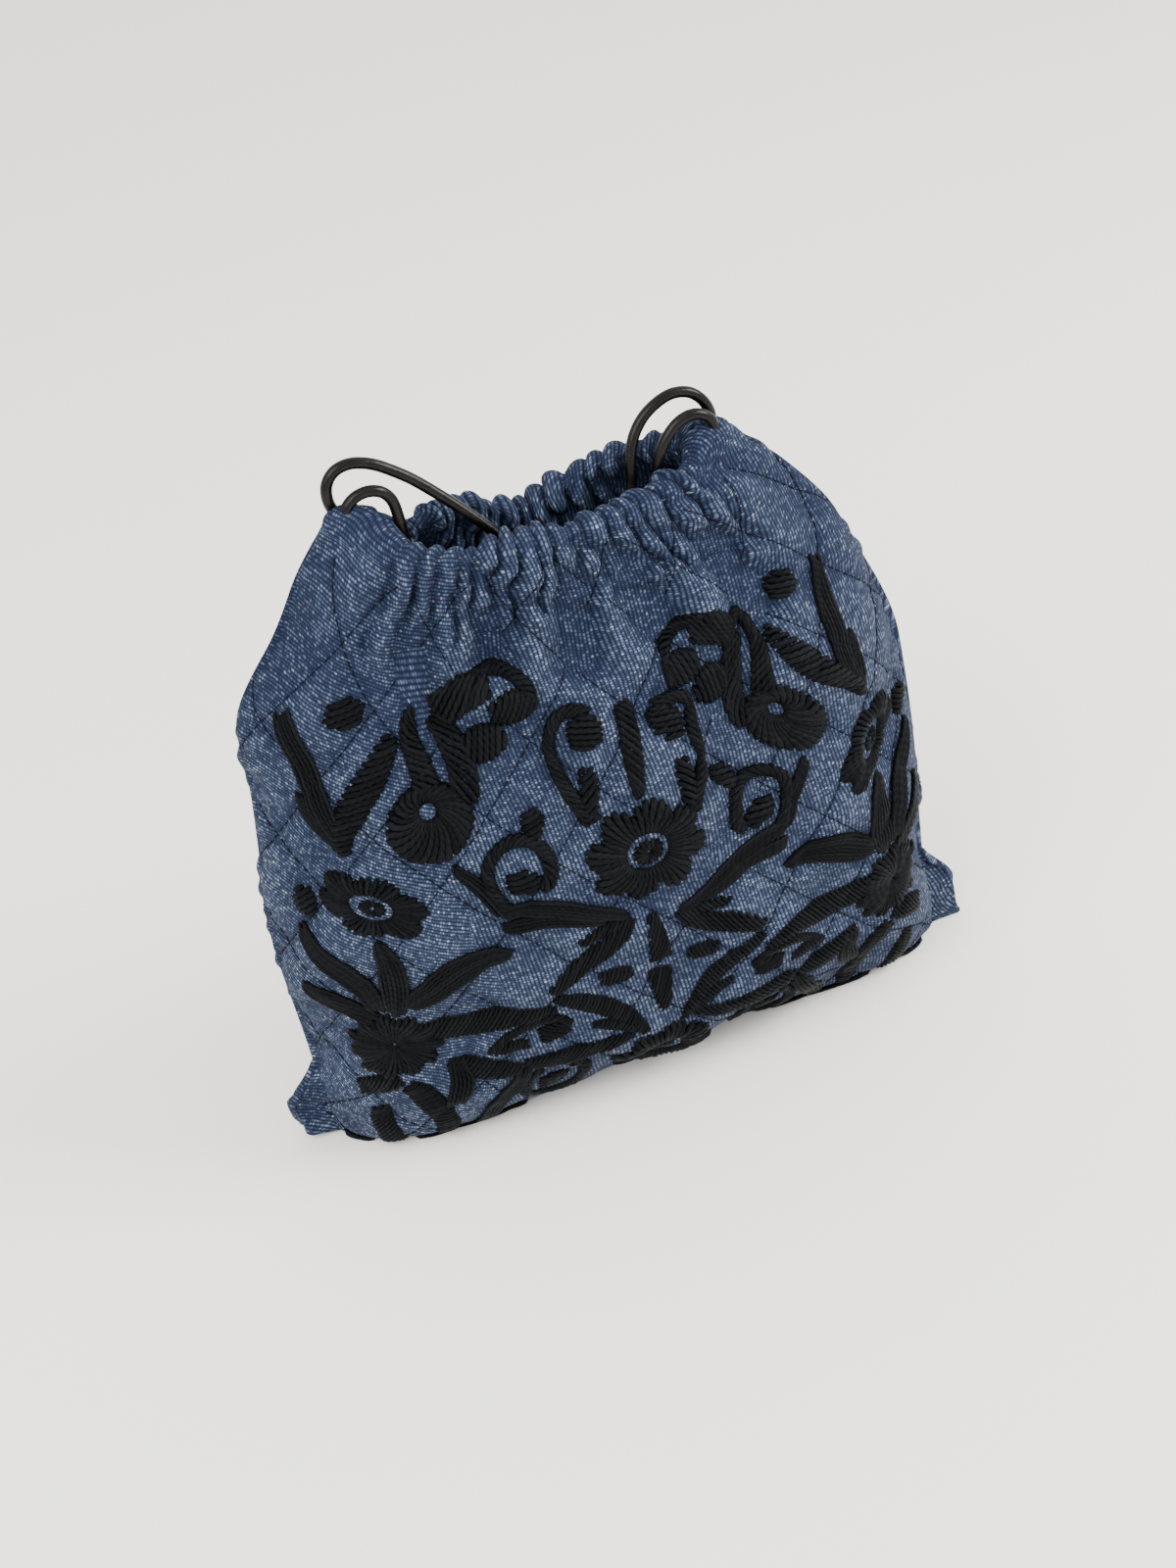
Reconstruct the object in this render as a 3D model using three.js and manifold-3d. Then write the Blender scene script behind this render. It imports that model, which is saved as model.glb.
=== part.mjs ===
// A small quilted denim drawstring bag that stands on its flattened base.
// A front and a back panel are sewn together at the sides and the base. Their top edges are turned in
// as a hem, and the casing inside that hem holds a round leather cord that gathers the mouth.
// Units are millimetres, +Z is up and the front faces -Y.
import * as THREE from 'three';
import { mergeVertices } from 'three/addons/utils/BufferGeometryUtils.js';
import Module from 'manifold-3d';

const wasm = await Module();
wasm.setup();

// Horizontal sections from the base to the crest of the rim. up runs along the panel from the bottom
// seam, seam and belly are half widths, front and back are depths, and square is how boxy a section is.
const SECTIONS = [
  { name: 'base', up: 17, height: 0, seam: 123, belly: 110, front: 17, back: 19, square: 4.5 },
  { name: 'base edge', up: 23, height: 1.5, seam: 124, belly: 112, front: 23, back: 26, square: 4.5 },
  { name: 'ear', up: 38, height: 13, seam: 124, belly: 112, front: 33, back: 34, square: 4 },
  { name: 'notch', up: 60, height: 33, seam: 111.5, belly: 111.5, front: 41, back: 41, square: 3.2 },
  { name: 'belly', up: 103, height: 76, seam: 112.5, belly: 112.5, front: 44, back: 44, square: 2.6 },
  { name: 'chest', up: 145, height: 118, seam: 111, belly: 111, front: 39, back: 38, square: 2.4 },
  { name: 'shoulder', up: 185, height: 157, seam: 99, belly: 99, front: 29, back: 28, square: 2.4 },
  { name: 'neck', up: 217, height: 188, seam: 77, belly: 77, front: 20, back: 20, square: 2.4 },
  { name: 'rim', up: 229, height: 198, seam: 65.5, belly: 65.5, front: 17.5, back: 17.5, square: 2.4 },
  { name: 'roll', up: 233, height: 201, seam: 62.5, belly: 62.5, front: 16, back: 16, square: 2.4 },
  { name: 'crest', up: 237, height: 202, seam: 59.5, belly: 59.5, front: 14, back: 13, square: 2.4 },
];
const ROUNDING = 0.62;
const MOUTH_SHIFT = -4;

// The rim rises to a peak at each side seam and dips in the middle of the front.
const RIM = { left: 14.5, right: 7.5, frontDip: 4, start: 175 };
const CREST_UP = 237;
const CREST_HEIGHT = 202;

// Cloth walls, the hem band and the seam gap between the two panels.
const WALL = 3;
const EAR_ROUND = 0.8;
const SEAM_GAP = 0.3;

// Near the top corners the cloth slopes, so that a level measure through it is longer.
const SHOULDER = { slant: 0.5, start: 185, full: 225 };
const BAND = { thickness: 8.5, hemEdge: 205, hemTop: 211, rollStart: 231 };
const MOUTH_LIP = { inset: 2.4, clear: 0.5, drop: 1, rise: 2 };
const FACING_PUFF = -0.5;
const FLOOR = { lift: 1.8, start: 23, end: 60 };

// Gathers pull the rim into puffs between the smooth corners at the side seams.
const GATHERS = { count: 19, height: 2.4, start: 198, full: 222, edge: 0.8, fade: 0.12 };
const GATHER_DRIFT = { size: 0.35, waves: 7 };

// Main folds that run down from the gathers. across goes from -1 at the left seam to 1 at the right.
const FOLDS = [
  { panel: 'front', topAcross: -0.58, lowAcross: -0.43, lowUp: 196, depth: 3.2, width: 0.06 },
  { panel: 'front', topAcross: 0.05, lowAcross: -0.04, lowUp: 172, depth: 2.6, width: 0.05 },
  { panel: 'front', topAcross: 0.22, lowAcross: 0.19, lowUp: 178, depth: 3.4, width: 0.05 },
  { panel: 'front', topAcross: 0.58, lowAcross: 0.5, lowUp: 160, depth: 4.6, width: 0.06 },
  { panel: 'back', topAcross: -0.46, lowAcross: -0.52, lowUp: 166, depth: 4, width: 0.06 },
  { panel: 'back', topAcross: -0.08, lowAcross: -0.02, lowUp: 184, depth: 3, width: 0.05 },
  { panel: 'back', topAcross: 0.5, lowAcross: 0.44, lowUp: 176, depth: 3.6, width: 0.06 },
];
const FOLD_TOP = 212;
const FOLD_FADE = 12;

// The casing is a flat tunnel inside the hem, open upward at both top corners, where the cords leave.
const CASING = { up: 224, climb: 8, halfHeight: 4.2, halfWidth: 2.35, middle: 4.25, edge: 0.8, steps: 40 };
const CORNER = { inner: 10.3, outer: 2.9, halfWidth: 5.2, depth: 15 };

// Leather cord: the stretches in the casings, and the free loops at the two corners.
const CORD = { radius: 1.75, sides: 8, apart: 2.5, gap: 0.6 };
const CORD_EXIT = { inset: 2.6, depth: 4 };
const CORD_ROUTE = { casingEnd: 0.92, steps: 24 };
const CORD_STEPS = { casing: 33, leftLoop: 38, rightLoop: 32 };

// Grid lines across one panel, below and inside the gathered rim, and rows up the outside and the inside.
const COARSE = 32;
const FINE = 96;
const SECTION_SAMPLES = 72;
const OUTSIDE_ROWS = [17, 19, 23, 30, 38, 48, 60, 80, 103, 124, 145, 165, 185];
const GATHERED_ROWS = [197, 207, 216, 226, 233, CREST_UP];
const INSIDE_ROWS = [23, 38, 48, 60, 80, 103, 145, 165, 185];

// Monotone cubic through one column of the section table.
function columnAt(column, up) {
  const last = SECTIONS.length - 1;
  const slopes = [];
  for (let i = 0; i < last; i += 1) {
    const run = SECTIONS[i + 1].up - SECTIONS[i].up;
    slopes.push((SECTIONS[i + 1][column] - SECTIONS[i][column]) / run);
  }
  const tangent = (i) => {
    if (i === 0) return slopes[0];
    if (i === last) return slopes[last - 1];
    const product = slopes[i - 1] * slopes[i];
    return product <= 0 ? 0 : (2 * product) / (slopes[i - 1] + slopes[i]);
  };
  let k = 0;
  while (k < last - 1 && up > SECTIONS[k + 1].up) k += 1;
  const run = SECTIONS[k + 1].up - SECTIONS[k].up;
  const t = THREE.MathUtils.clamp((up - SECTIONS[k].up) / run, 0, 1);
  const rise = (1 - t) * (1 - t);
  const start = rise * (1 + 2 * t) * SECTIONS[k][column] + rise * t * run * tangent(k);
  const end = t * t * (3 - 2 * t) * SECTIONS[k + 1][column] + t * t * (t - 1) * run * tangent(k + 1);
  return start + end;
}

// Half section of one panel as a flat outline from the left seam to the right seam, set in by inset.
function halfSection(panel, up, inset) {
  const belly = columnAt('belly', up) - inset;
  const depth = columnAt(panel, up) - inset;
  const square = columnAt('square', up);
  const ear = inset > 0 ? 0 : columnAt('seam', up) - belly;
  const earThickness = Math.min(WALL, ear);
  const outline = [];
  for (let i = 0; i <= SECTION_SAMPLES; i += 1) {
    const xi = Math.sin((i / SECTION_SAMPLES - 0.5) * Math.PI);
    const y = depth * Math.max(0, 1 - Math.abs(xi) ** square) ** ROUNDING;
    outline.push(new THREE.Vector2(belly * xi, Math.max(y, earThickness)));
  }
  if (ear > EAR_ROUND) {
    for (const side of [-1, 1]) {
      const tip = [
        new THREE.Vector2(side * (belly + ear - EAR_ROUND), earThickness),
        new THREE.Vector2(side * (belly + ear), 0),
      ];
      if (side < 0) outline.unshift(...tip.reverse());
      else outline.push(...tip);
    }
  } else {
    outline[0].y = 0;
    outline[outline.length - 1].y = 0;
  }
  return outline;
}

// Smooth step from 0 at low to 1 at high.
function ramp(value, low, high) {
  return THREE.MathUtils.smoothstep(value, low, high);
}

// How far the gathers push the cloth outward at a place on a panel.
function gatherHeight(across, up) {
  const middle = 1 - ramp(Math.abs(across), GATHERS.edge - GATHERS.fade, GATHERS.edge + GATHERS.fade);
  const drift = GATHER_DRIFT.size * Math.sin(GATHER_DRIFT.waves * across);
  const phase = Math.PI * GATHERS.count * across + drift;
  const wave = 0.5 + 0.5 * Math.cos(phase);
  return GATHERS.height * middle * wave * ramp(up, GATHERS.start, GATHERS.full);
}

// How far the main folds pull the cloth inward at a place on a panel.
function foldDepth(panel, across, up) {
  let depth = 0;
  for (const fold of FOLDS) {
    if (fold.panel !== panel) continue;
    const t = THREE.MathUtils.clamp((FOLD_TOP - up) / (FOLD_TOP - fold.lowUp), 0, 1);
    const centre = THREE.MathUtils.lerp(fold.topAcross, fold.lowAcross, t);
    const offset = (across - centre) / (fold.width * (1 + t));
    const start = ramp(up, fold.lowUp, fold.lowUp + FOLD_FADE);
    const end = 1 - ramp(up, FOLD_TOP - FOLD_FADE, FOLD_TOP);
    depth += fold.depth * start * end * Math.exp(-offset * offset);
  }
  return depth;
}

// Rise of the rim towards the side seams, less the dip in the front.
function rimRise(panel, across, up) {
  const along = THREE.MathUtils.clamp((up - RIM.start) / (CREST_UP - RIM.start), 0, 1);
  const peak = across < 0 ? RIM.left : RIM.right;
  const dip = panel === 'front' ? RIM.frontDip * (1 - across * across) ** 2 : 0;
  return along * along * (peak * across ** 4 - dip);
}

// Point of one panel. across runs from -1 at the left seam to 1 at the right, along the section's length.
// puff scales the gathers: 1 outside the rim, negative inside it, 0 in the casing.
function panelPoint(panel, across, up, { inset = 0, puff = 1, lift = 0 }) {
  const slant = 1 + SHOULDER.slant * across ** 4 * ramp(up, SHOULDER.start, SHOULDER.full);
  const outline = halfSection(panel, up, inset * slant);
  const lengths = [0];
  for (let i = 1; i < outline.length; i += 1) {
    lengths.push(lengths[i - 1] + outline[i].distanceTo(outline[i - 1]));
  }
  const target = (lengths[lengths.length - 1] * (across + 1)) / 2;
  let k = 0;
  while (k < outline.length - 2 && lengths[k + 1] < target) k += 1;
  const t = THREE.MathUtils.clamp((target - lengths[k]) / (lengths[k + 1] - lengths[k]), 0, 1);
  const place = outline[k].clone().lerp(outline[k + 1], t);
  const along = outline[k + 1].clone().sub(outline[k]).normalize();
  const out = puff * gatherHeight(across, up) - foldDepth(panel, across, up);
  const onSeam = Math.abs(across) === 1;
  const x = place.x - (onSeam ? 0 : along.y * out);
  const y = onSeam ? 0 : Math.max(place.y + along.x * out, SEAM_GAP);
  const height = columnAt('height', up);
  const shift = (MOUTH_SHIFT * height) / CREST_HEIGHT;
  const facing = panel === 'front' ? -1 : 1;
  return new THREE.Vector3(x + shift, facing * y, height + lift + rimRise(panel, across, up));
}

// Points of one panel from the left seam to the right seam. climb raises the row towards the seams.
function panelRow(panel, up, steps, options) {
  const climb = options.climb ?? 0;
  const points = [];
  for (let i = 0; i <= steps; i += 1) {
    const across = (2 * i) / steps - 1;
    points.push(panelPoint(panel, across, up + climb * across ** 4, options));
  }
  return points;
}

// Closed ring of points around the bag at one height: along the front, then back along the back.
function ring(up, steps, options) {
  const front = panelRow('front', up, steps, options);
  const back = panelRow('back', up, steps, options);
  return front.concat(back.slice(1, steps).reverse());
}

// Closed solid through a stack of rings, capped flat at both ends between its front and back points.
function ringSolid(rings) {
  const points = [];
  const starts = [];
  const triangles = [];
  for (const loop of rings) {
    starts.push(points.length);
    points.push(...loop);
  }
  for (let r = 0; r + 1 < rings.length; r += 1) {
    const low = rings[r].length;
    const high = rings[r + 1].length;
    const ratio = high / low;
    for (let i = 0; i < low; i += 1) {
      const a = starts[r] + i;
      const b = starts[r] + ((i + 1) % low);
      for (let k = 0; k < ratio; k += 1) {
        const c = starts[r + 1] + ((i * ratio + k) % high);
        const d = starts[r + 1] + ((i * ratio + k + 1) % high);
        triangles.push(k < ratio / 2 ? a : b, d, c);
        if (k === Math.floor((ratio - 1) / 2)) triangles.push(a, b, d);
      }
    }
  }
  const cap = (start, count, up) => {
    const half = count / 2;
    for (let i = 0; i < half; i += 1) {
      const p = start + i;
      const q = start + i + 1;
      const backP = start + ((count - i) % count);
      const backQ = start + count - i - 1;
      if (i > 0) triangles.push(...(up ? [p, q, backP] : [p, backP, q]));
      if (i < half - 1) triangles.push(...(up ? [q, backQ, backP] : [q, backP, backQ]));
    }
  };
  cap(starts[0], rings[0].length, false);
  cap(starts[starts.length - 1], rings[rings.length - 1].length, true);
  const geometry = new THREE.BufferGeometry().setFromPoints(points);
  geometry.setIndex(triangles);
  return solidOf(geometry);
}

// Manifold solid of a closed three.js geometry.
function solidOf(geometry) {
  const plain = geometry.clone();
  plain.deleteAttribute('normal');
  plain.deleteAttribute('uv');
  const merged = mergeVertices(plain, 1e-4);
  const vertProperties = new Float32Array(merged.attributes.position.array);
  const triVerts = new Uint32Array(merged.index.array);
  return new wasm.Manifold(new wasm.Mesh({ numProp: 3, vertProperties, triVerts }));
}

// three.js geometry of a manifold solid.
function geometryOf(solid) {
  const mesh = solid.getMesh();
  const geometry = new THREE.BufferGeometry();
  const positions = new Float32Array(mesh.vertProperties);
  geometry.setAttribute('position', new THREE.BufferAttribute(positions, 3));
  geometry.setIndex(Array.from(mesh.triVerts));
  geometry.computeVertexNormals();
  return geometry;
}

// Outside of the bag, as if it were filled up to the crest of the rim.
function outsideSolid() {
  const plain = OUTSIDE_ROWS.map((up) => ring(up, COARSE, {}));
  const gathered = GATHERED_ROWS.map((up) => ring(up, FINE, {}));
  return ringSolid([...plain, ...gathered]);
}

// Hollow of the bag with its mouth, narrower inside the hem band and rounded over at the crest.
function hollowSolid() {
  const rings = INSIDE_ROWS.map((up) => {
    const lift = FLOOR.lift * (1 - ramp(up, FLOOR.start, FLOOR.end));
    return ring(up, COARSE, { inset: WALL, lift });
  });
  const inward = { puff: FACING_PUFF };
  rings.push(ring(BAND.hemEdge, FINE, { inset: WALL }));
  rings.push(ring(BAND.hemTop, FINE, { inset: BAND.thickness, ...inward }));
  rings.push(ring(BAND.rollStart, FINE, { inset: BAND.thickness, ...inward }));
  rings.push(ring(CREST_UP, FINE, { inset: MOUTH_LIP.inset, lift: -MOUTH_LIP.drop, ...inward }));
  rings.push(ring(CREST_UP, FINE, { inset: MOUTH_LIP.clear, lift: MOUTH_LIP.rise, ...inward }));
  return ringSolid(rings);
}

// Casing tunnel all round the mouth: a flat six-sided ring inside the hem band.
function casingSolid() {
  const { edge } = CASING;
  const corners = [[-1, -edge], [0, -1], [1, -edge], [1, edge], [0, 1], [-1, edge]];
  const loops = corners.map(([inward, high]) => {
    const inset = CASING.middle + CASING.halfWidth * inward;
    const options = { inset, puff: 0, climb: CASING.climb };
    return ring(CASING.up + CASING.halfHeight * high, CASING.steps, options);
  });
  const count = loops[0].length;
  const points = loops.flat();
  const triangles = [];
  for (let c = 0; c < corners.length; c += 1) {
    const next = (c + 1) % corners.length;
    for (let i = 0; i < count; i += 1) {
      const j = (i + 1) % count;
      const a = c * count + i;
      const b = c * count + j;
      const e = next * count + i;
      const f = next * count + j;
      triangles.push(a, e, b, b, e, f);
    }
  }
  const geometry = new THREE.BufferGeometry().setFromPoints(points);
  geometry.setIndex(triangles);
  return solidOf(geometry);
}

// Top corner at one side seam: where its casing ends, and the crest there.
function corner(side) {
  const seamPoint = panelPoint('front', side, CREST_UP, {});
  return new THREE.Vector3(seamPoint.x - side * CORD_EXIT.inset, 0, seamPoint.z);
}

// Opening at a top corner, where the seam is left unsewn and both cords come up out of the casings.
function cornerOpening(side) {
  const top = corner(side);
  const width = CORNER.inner + CORNER.outer;
  const box = new THREE.BoxGeometry(width, 2 * CORNER.halfWidth, 2 * CORNER.depth);
  box.translate(top.x - (side * (CORNER.inner - CORNER.outer)) / 2, 0, top.z);
  return solidOf(box);
}

const pouch = outsideSolid()
  .subtract(hollowSolid())
  .subtract(casingSolid())
  .subtract(cornerOpening(-1))
  .subtract(cornerOpening(1));
const frontPanel = pouch.trimByPlane([0, -1, 0], SEAM_GAP / 2);
const backPanel = pouch.trimByPlane([0, 1, 0], SEAM_GAP / 2);

// Point inside a corner where a casing's cord turns upward. The front casing's cord is at -Y.
function cordExit(panel, side) {
  const turn = corner(side);
  turn.y = panel === 'front' ? -CORD.apart : CORD.apart;
  turn.z -= CORD_EXIT.depth;
  return turn;
}

// Route of the cord inside one casing, from the left corner to the right corner.
function casingRoute(panel) {
  const options = { inset: CASING.middle, puff: 0, climb: CASING.climb };
  const inside = panelRow(panel, CASING.up, CORD_ROUTE.steps, options);
  const kept = inside.filter((point, i) => Math.abs((2 * i) / CORD_ROUTE.steps - 1) <= CORD_ROUTE.casingEnd);
  return [cordExit(panel, -1), ...kept, cordExit(panel, 1)];
}

// Round cord along a route of points.
function cordGeometry(route, steps) {
  const section = new THREE.Shape();
  for (let i = 0; i < CORD.sides; i += 1) {
    const angle = (2 * Math.PI * i) / CORD.sides;
    const x = CORD.radius * Math.cos(angle);
    const y = CORD.radius * Math.sin(angle);
    if (i === 0) section.moveTo(x, y);
    else section.lineTo(x, y);
  }
  section.closePath();
  const extrudePath = new THREE.CatmullRomCurve3(route, false, 'centripetal');
  const geometry = new THREE.ExtrudeGeometry(section, { steps, extrudePath, bevelEnabled: false });
  return geometryOf(solidOf(geometry));
}

// Free loop at one corner: up from the front casing, over the rim and into the mouth, round inside
// the bag, and out again in a larger arch to the back casing.
function loopRoute(side, places) {
  const start = (panel) => {
    const low = cordExit(panel, side);
    return low.setZ(low.z + CORD.gap);
  };
  const free = places.map(([x, y, z]) => new THREE.Vector3(x, y, z));
  return [start('front'), ...free, start('back')];
}

// Hand-set places of the two free loops, as x, y, z.
const LEFT_LOOP = [
  [-61, -2.4, 215.3], [-60.1, -2.4, 218.7], [-57.2, -2.5, 221.4], [-53.1, -2.6, 222.3], [-49.1, -2.4, 220.9],
  [-46.6, -2, 217.5], [-45.6, -1.5, 211.5], [-45.4, -1.4, 203.5], [-44.4, -1.6, 194], [-41, -2.5, 179],
  [-33, -3, 166.5], [-20.5, -3, 160.5], [-10.5, -3, 166], [-8.2, -3, 178], [-17, -2, 195.4],
  [-36.3, 1.6, 217.6], [-43.5, 2.2, 223.9], [-49.8, 2.6, 228], [-55.6, 2.8, 229.6], [-60.2, 2.8, 228.6],
  [-63.1, 2.7, 225.4], [-63.9, 2.5, 221], [-62.9, 2.4, 216.8],
];
const RIGHT_LOOP = [
  [53.4, -2.4, 209.3], [52.4, -2.5, 213.3], [49.4, -2.7, 216.1], [45.4, -2.9, 216.8], [41.3, -3, 215.3],
  [37.1, -3, 211], [34.2, -3, 205], [33, -3, 197], [33.6, -3, 186], [34.1, -3, 175], [32.5, -3, 169.9],
  [28.5, -3, 167], [23.5, -3, 167], [19.5, -3, 169.9], [17.9, -3, 174.6], [19.3, -2.8, 183],
  [23.4, -2, 192], [25.6, -0.9, 199.5], [26.7, 0.4, 206.5], [28.9, 1.5, 212.7], [32.6, 2.1, 217.6],
  [37.7, 2.5, 221], [43.4, 2.8, 222.5], [48.8, 2.8, 221.2], [52.6, 2.7, 217.4], [54.3, 2.6, 212.8],
  [53.9, 2.5, 208.8],
];

const DENIM = { color: 0x43597f, roughness: 0.92, metalness: 0 };
const LEATHER = { color: 0x2a2322, roughness: 0.45, metalness: 0 };

const bag = new THREE.Group();

function addPiece(name, geometry, look) {
  const mesh = new THREE.Mesh(geometry, new THREE.MeshStandardMaterial(look));
  mesh.name = name;
  bag.add(mesh);
}

addPiece('front_panel', geometryOf(frontPanel), DENIM);
addPiece('back_panel', geometryOf(backPanel), DENIM);
addPiece('drawstring_front', cordGeometry(casingRoute('front'), CORD_STEPS.casing), LEATHER);
addPiece('drawstring_back', cordGeometry(casingRoute('back'), CORD_STEPS.casing), LEATHER);
addPiece('cord_loop_left', cordGeometry(loopRoute(-1, LEFT_LOOP), CORD_STEPS.leftLoop), LEATHER);
addPiece('cord_loop_right', cordGeometry(loopRoute(1, RIGHT_LOOP), CORD_STEPS.rightLoop), LEATHER);

export default bag;
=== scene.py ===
import math

import bpy
import numpy as np
from mathutils import Matrix


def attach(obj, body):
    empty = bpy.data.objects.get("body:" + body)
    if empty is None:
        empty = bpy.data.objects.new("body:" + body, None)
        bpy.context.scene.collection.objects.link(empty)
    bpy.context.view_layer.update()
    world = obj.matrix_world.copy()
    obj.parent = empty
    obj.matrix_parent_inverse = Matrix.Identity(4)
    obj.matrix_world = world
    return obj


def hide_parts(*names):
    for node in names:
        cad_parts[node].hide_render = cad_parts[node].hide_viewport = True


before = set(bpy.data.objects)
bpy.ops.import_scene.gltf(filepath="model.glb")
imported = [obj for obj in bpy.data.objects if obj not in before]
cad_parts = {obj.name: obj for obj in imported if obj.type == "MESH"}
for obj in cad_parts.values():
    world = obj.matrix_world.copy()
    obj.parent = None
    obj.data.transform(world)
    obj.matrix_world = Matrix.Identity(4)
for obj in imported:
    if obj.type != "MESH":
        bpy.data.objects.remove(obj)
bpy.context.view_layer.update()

# Denim panels
# The front and the back are one panel each, indigo denim quilted over a thin wadding. They are sewn
# together at the sides and the base, and their top edges are turned in as a hem that makes the casing.
# Lengths are millimetres until a mesh is made: up runs along the cloth from the bottom seam, and
# across from -1 at the left seam to 1 at the right seam.
MM = 0.001
HALF_WIDTH = 120.0
COLUMNS = ("up", "height", "seam", "belly", "front", "back", "square")
SECTIONS = np.array([
    [17, 0, 123, 110, 17, 19, 4.5],
    [23, 1.5, 124, 112, 23, 26, 4.5],
    [38, 13, 124, 112, 33, 34, 4],
    [60, 33, 111.5, 111.5, 41, 41, 3.2],
    [103, 76, 112.5, 112.5, 44, 44, 2.6],
    [145, 118, 111, 111, 39, 38, 2.4],
    [185, 157, 99, 99, 29, 28, 2.4],
    [217, 188, 77, 77, 20, 20, 2.4],
    [229, 198, 65.5, 65.5, 17.5, 17.5, 2.4],
    [233, 201, 62.5, 62.5, 16, 16, 2.4],
    [237, 202, 59.5, 59.5, 14, 13, 2.4],
])
ROUNDING = 0.62
BASE_UP = 17.0
CREST_UP = 237.0
CREST_HEIGHT = 202.0
MOUTH_SHIFT = -4.0
EAR = {"thickness": 3.0, "round": 0.8}
RIM = {"left": 14.5, "right": 7.5, "front_dip": 4.0, "start": 175.0}
SHOULDER = {"slant": 0.5, "start": 185.0, "full": 225.0}
SEAM_CLEAR = 0.15
ACROSS = np.linspace(-1, 1, 289)
XI = np.sin(np.linspace(-0.5, 0.5, 201) * np.pi)


def smooth(value, low, high):
    """Smooth step from 0 at low to 1 at high."""
    t = np.clip((value - low) / (high - low), 0, 1)
    return t * t * (3 - 2 * t)


def unit(vectors):
    """Vectors scaled to length 1."""
    return vectors / np.maximum(np.linalg.norm(vectors, axis=-1, keepdims=True), 1e-9)


def run_along(points):
    """Distance of each point of a line from its start."""
    return np.concatenate([[0], np.cumsum(np.linalg.norm(np.diff(points, axis=0), axis=1))])


def section_value(column, up):
    """Monotone cubic through one column of the section table."""
    x = SECTIONS[:, 0]
    y = SECTIONS[:, COLUMNS.index(column)]
    run = np.diff(x)
    slope = np.diff(y) / run
    product = slope[:-1] * slope[1:]
    total = np.where(product > 0, slope[:-1] + slope[1:], 1)
    inner = np.where(product > 0, 2 * product / total, 0)
    tangent = np.concatenate([slope[:1], inner, slope[-1:]])
    k = int(np.clip(np.searchsorted(x, up, side="right") - 1, 0, len(run) - 1))
    t = float(np.clip((up - x[k]) / run[k], 0, 1))
    start = (1 - t) ** 2 * ((1 + 2 * t) * y[k] + t * run[k] * tangent[k])
    end = t * t * ((3 - 2 * t) * y[k + 1] + (t - 1) * run[k] * tangent[k + 1])
    return start + end


def section_row(panel, up, across, inset):
    """Points of one panel at one height up the cloth, set in by a level distance."""
    belly = section_value("belly", up) - inset
    depth = section_value(panel, up) - inset
    ear = 0.0 if inset > 0 else section_value("seam", up) - belly
    thickness = min(EAR["thickness"], ear)
    x = belly * XI
    y = depth * np.maximum(0, 1 - np.abs(XI) ** section_value("square", up)) ** ROUNDING
    y = np.maximum(y, thickness)
    if ear > EAR["round"]:
        tip = belly + ear
        x = np.concatenate([[-tip, EAR["round"] - tip], x, [tip - EAR["round"], tip]])
        y = np.concatenate([[0, thickness], y, [thickness, 0]])
    else:
        y[[0, -1]] = 0
    length = np.concatenate([[0], np.cumsum(np.hypot(np.diff(x), np.diff(y)))])
    target = (across + 1) / 2 * length[-1]
    height = section_value("height", up)
    along = np.clip((up - RIM["start"]) / (CREST_UP - RIM["start"]), 0, 1)
    peak = np.where(across < 0, RIM["left"], RIM["right"])
    dip = RIM["front_dip"] * (1 - across ** 2) ** 2 if panel == "front" else 0
    row = np.empty((len(across), 3))
    row[:, 0] = np.interp(target, length, x) + MOUTH_SHIFT * height / CREST_HEIGHT
    row[:, 1] = np.interp(target, length, y) * (-1 if panel == "front" else 1)
    row[:, 2] = height + along ** 2 * (peak * across ** 4 - dip)
    return row


def cloth_row(panel, up, across=ACROSS, inset=0.0, lift=0.0):
    """A row of the cloth. The shoulders slope, so a level inset is longer there."""
    row = section_row(panel, max(up, BASE_UP), across, inset)
    if inset > 0:
        steep = section_row(panel, max(up, BASE_UP), across, inset * (1 + SHOULDER["slant"]))
        share = across ** 4 * smooth(up, SHOULDER["start"], SHOULDER["full"])
        row += (steep - row) * share[:, None]
    if up < BASE_UP:
        row[:, 1] *= up / BASE_UP
    row[:, 2] += lift
    return row


# Rows of the closed cloth in order: the outside from the bottom seam, the roll at the rim, the facing
# down to the hem's edge, and the inside wall back to the bottom seam.
ROLL = {"up": 229.5, "half_thickness": 4.25, "height": 4.2, "steps": 14}
HEM = {"up": 208.0, "rows": 18, "edge": 4.2}
WALL = 3.0
FLOOR_LIFT = 2.0
OUTER_UPS = np.concatenate([np.linspace(0, BASE_UP, 7)[:-1], np.linspace(BASE_UP, ROLL["up"], 196)])
INNER_UPS = np.linspace(HEM["up"] - 4, 23, 34)
ROLL_TURNS = np.linspace(0, np.pi, ROLL["steps"] + 2)[1:-1]

# How the filled bag has settled: its side edges lie further out or in, its front is tucked in above the
# base, and its lower left corner is turned up a little. A row of SETTLED gives a side, a place up the
# cloth, how far the move reaches and how far it goes to the right.
SETTLED = [
    (-1, 232.0, 9.0, 2.0),
    (-1, 192.0, 17.0, -6.0),
    (-1, 150.0, 22.0, 3.6),
    (1, 206.0, 13.0, 3.0),
    (1, 232.0, 9.0, -3.0),
    (1, 30.0, 15.0, -2.5),
]
SETTLED_FROM = 0.72
TUCK = {"share": 0.21, "up": (20.0, 52.0), "left": (-0.6, 0.1), "right": (0.3, 0.75)}
TURNED_CORNER = {"move": 3.0, "lift": 3.5, "height": 16.0, "from": 0.78}
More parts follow.
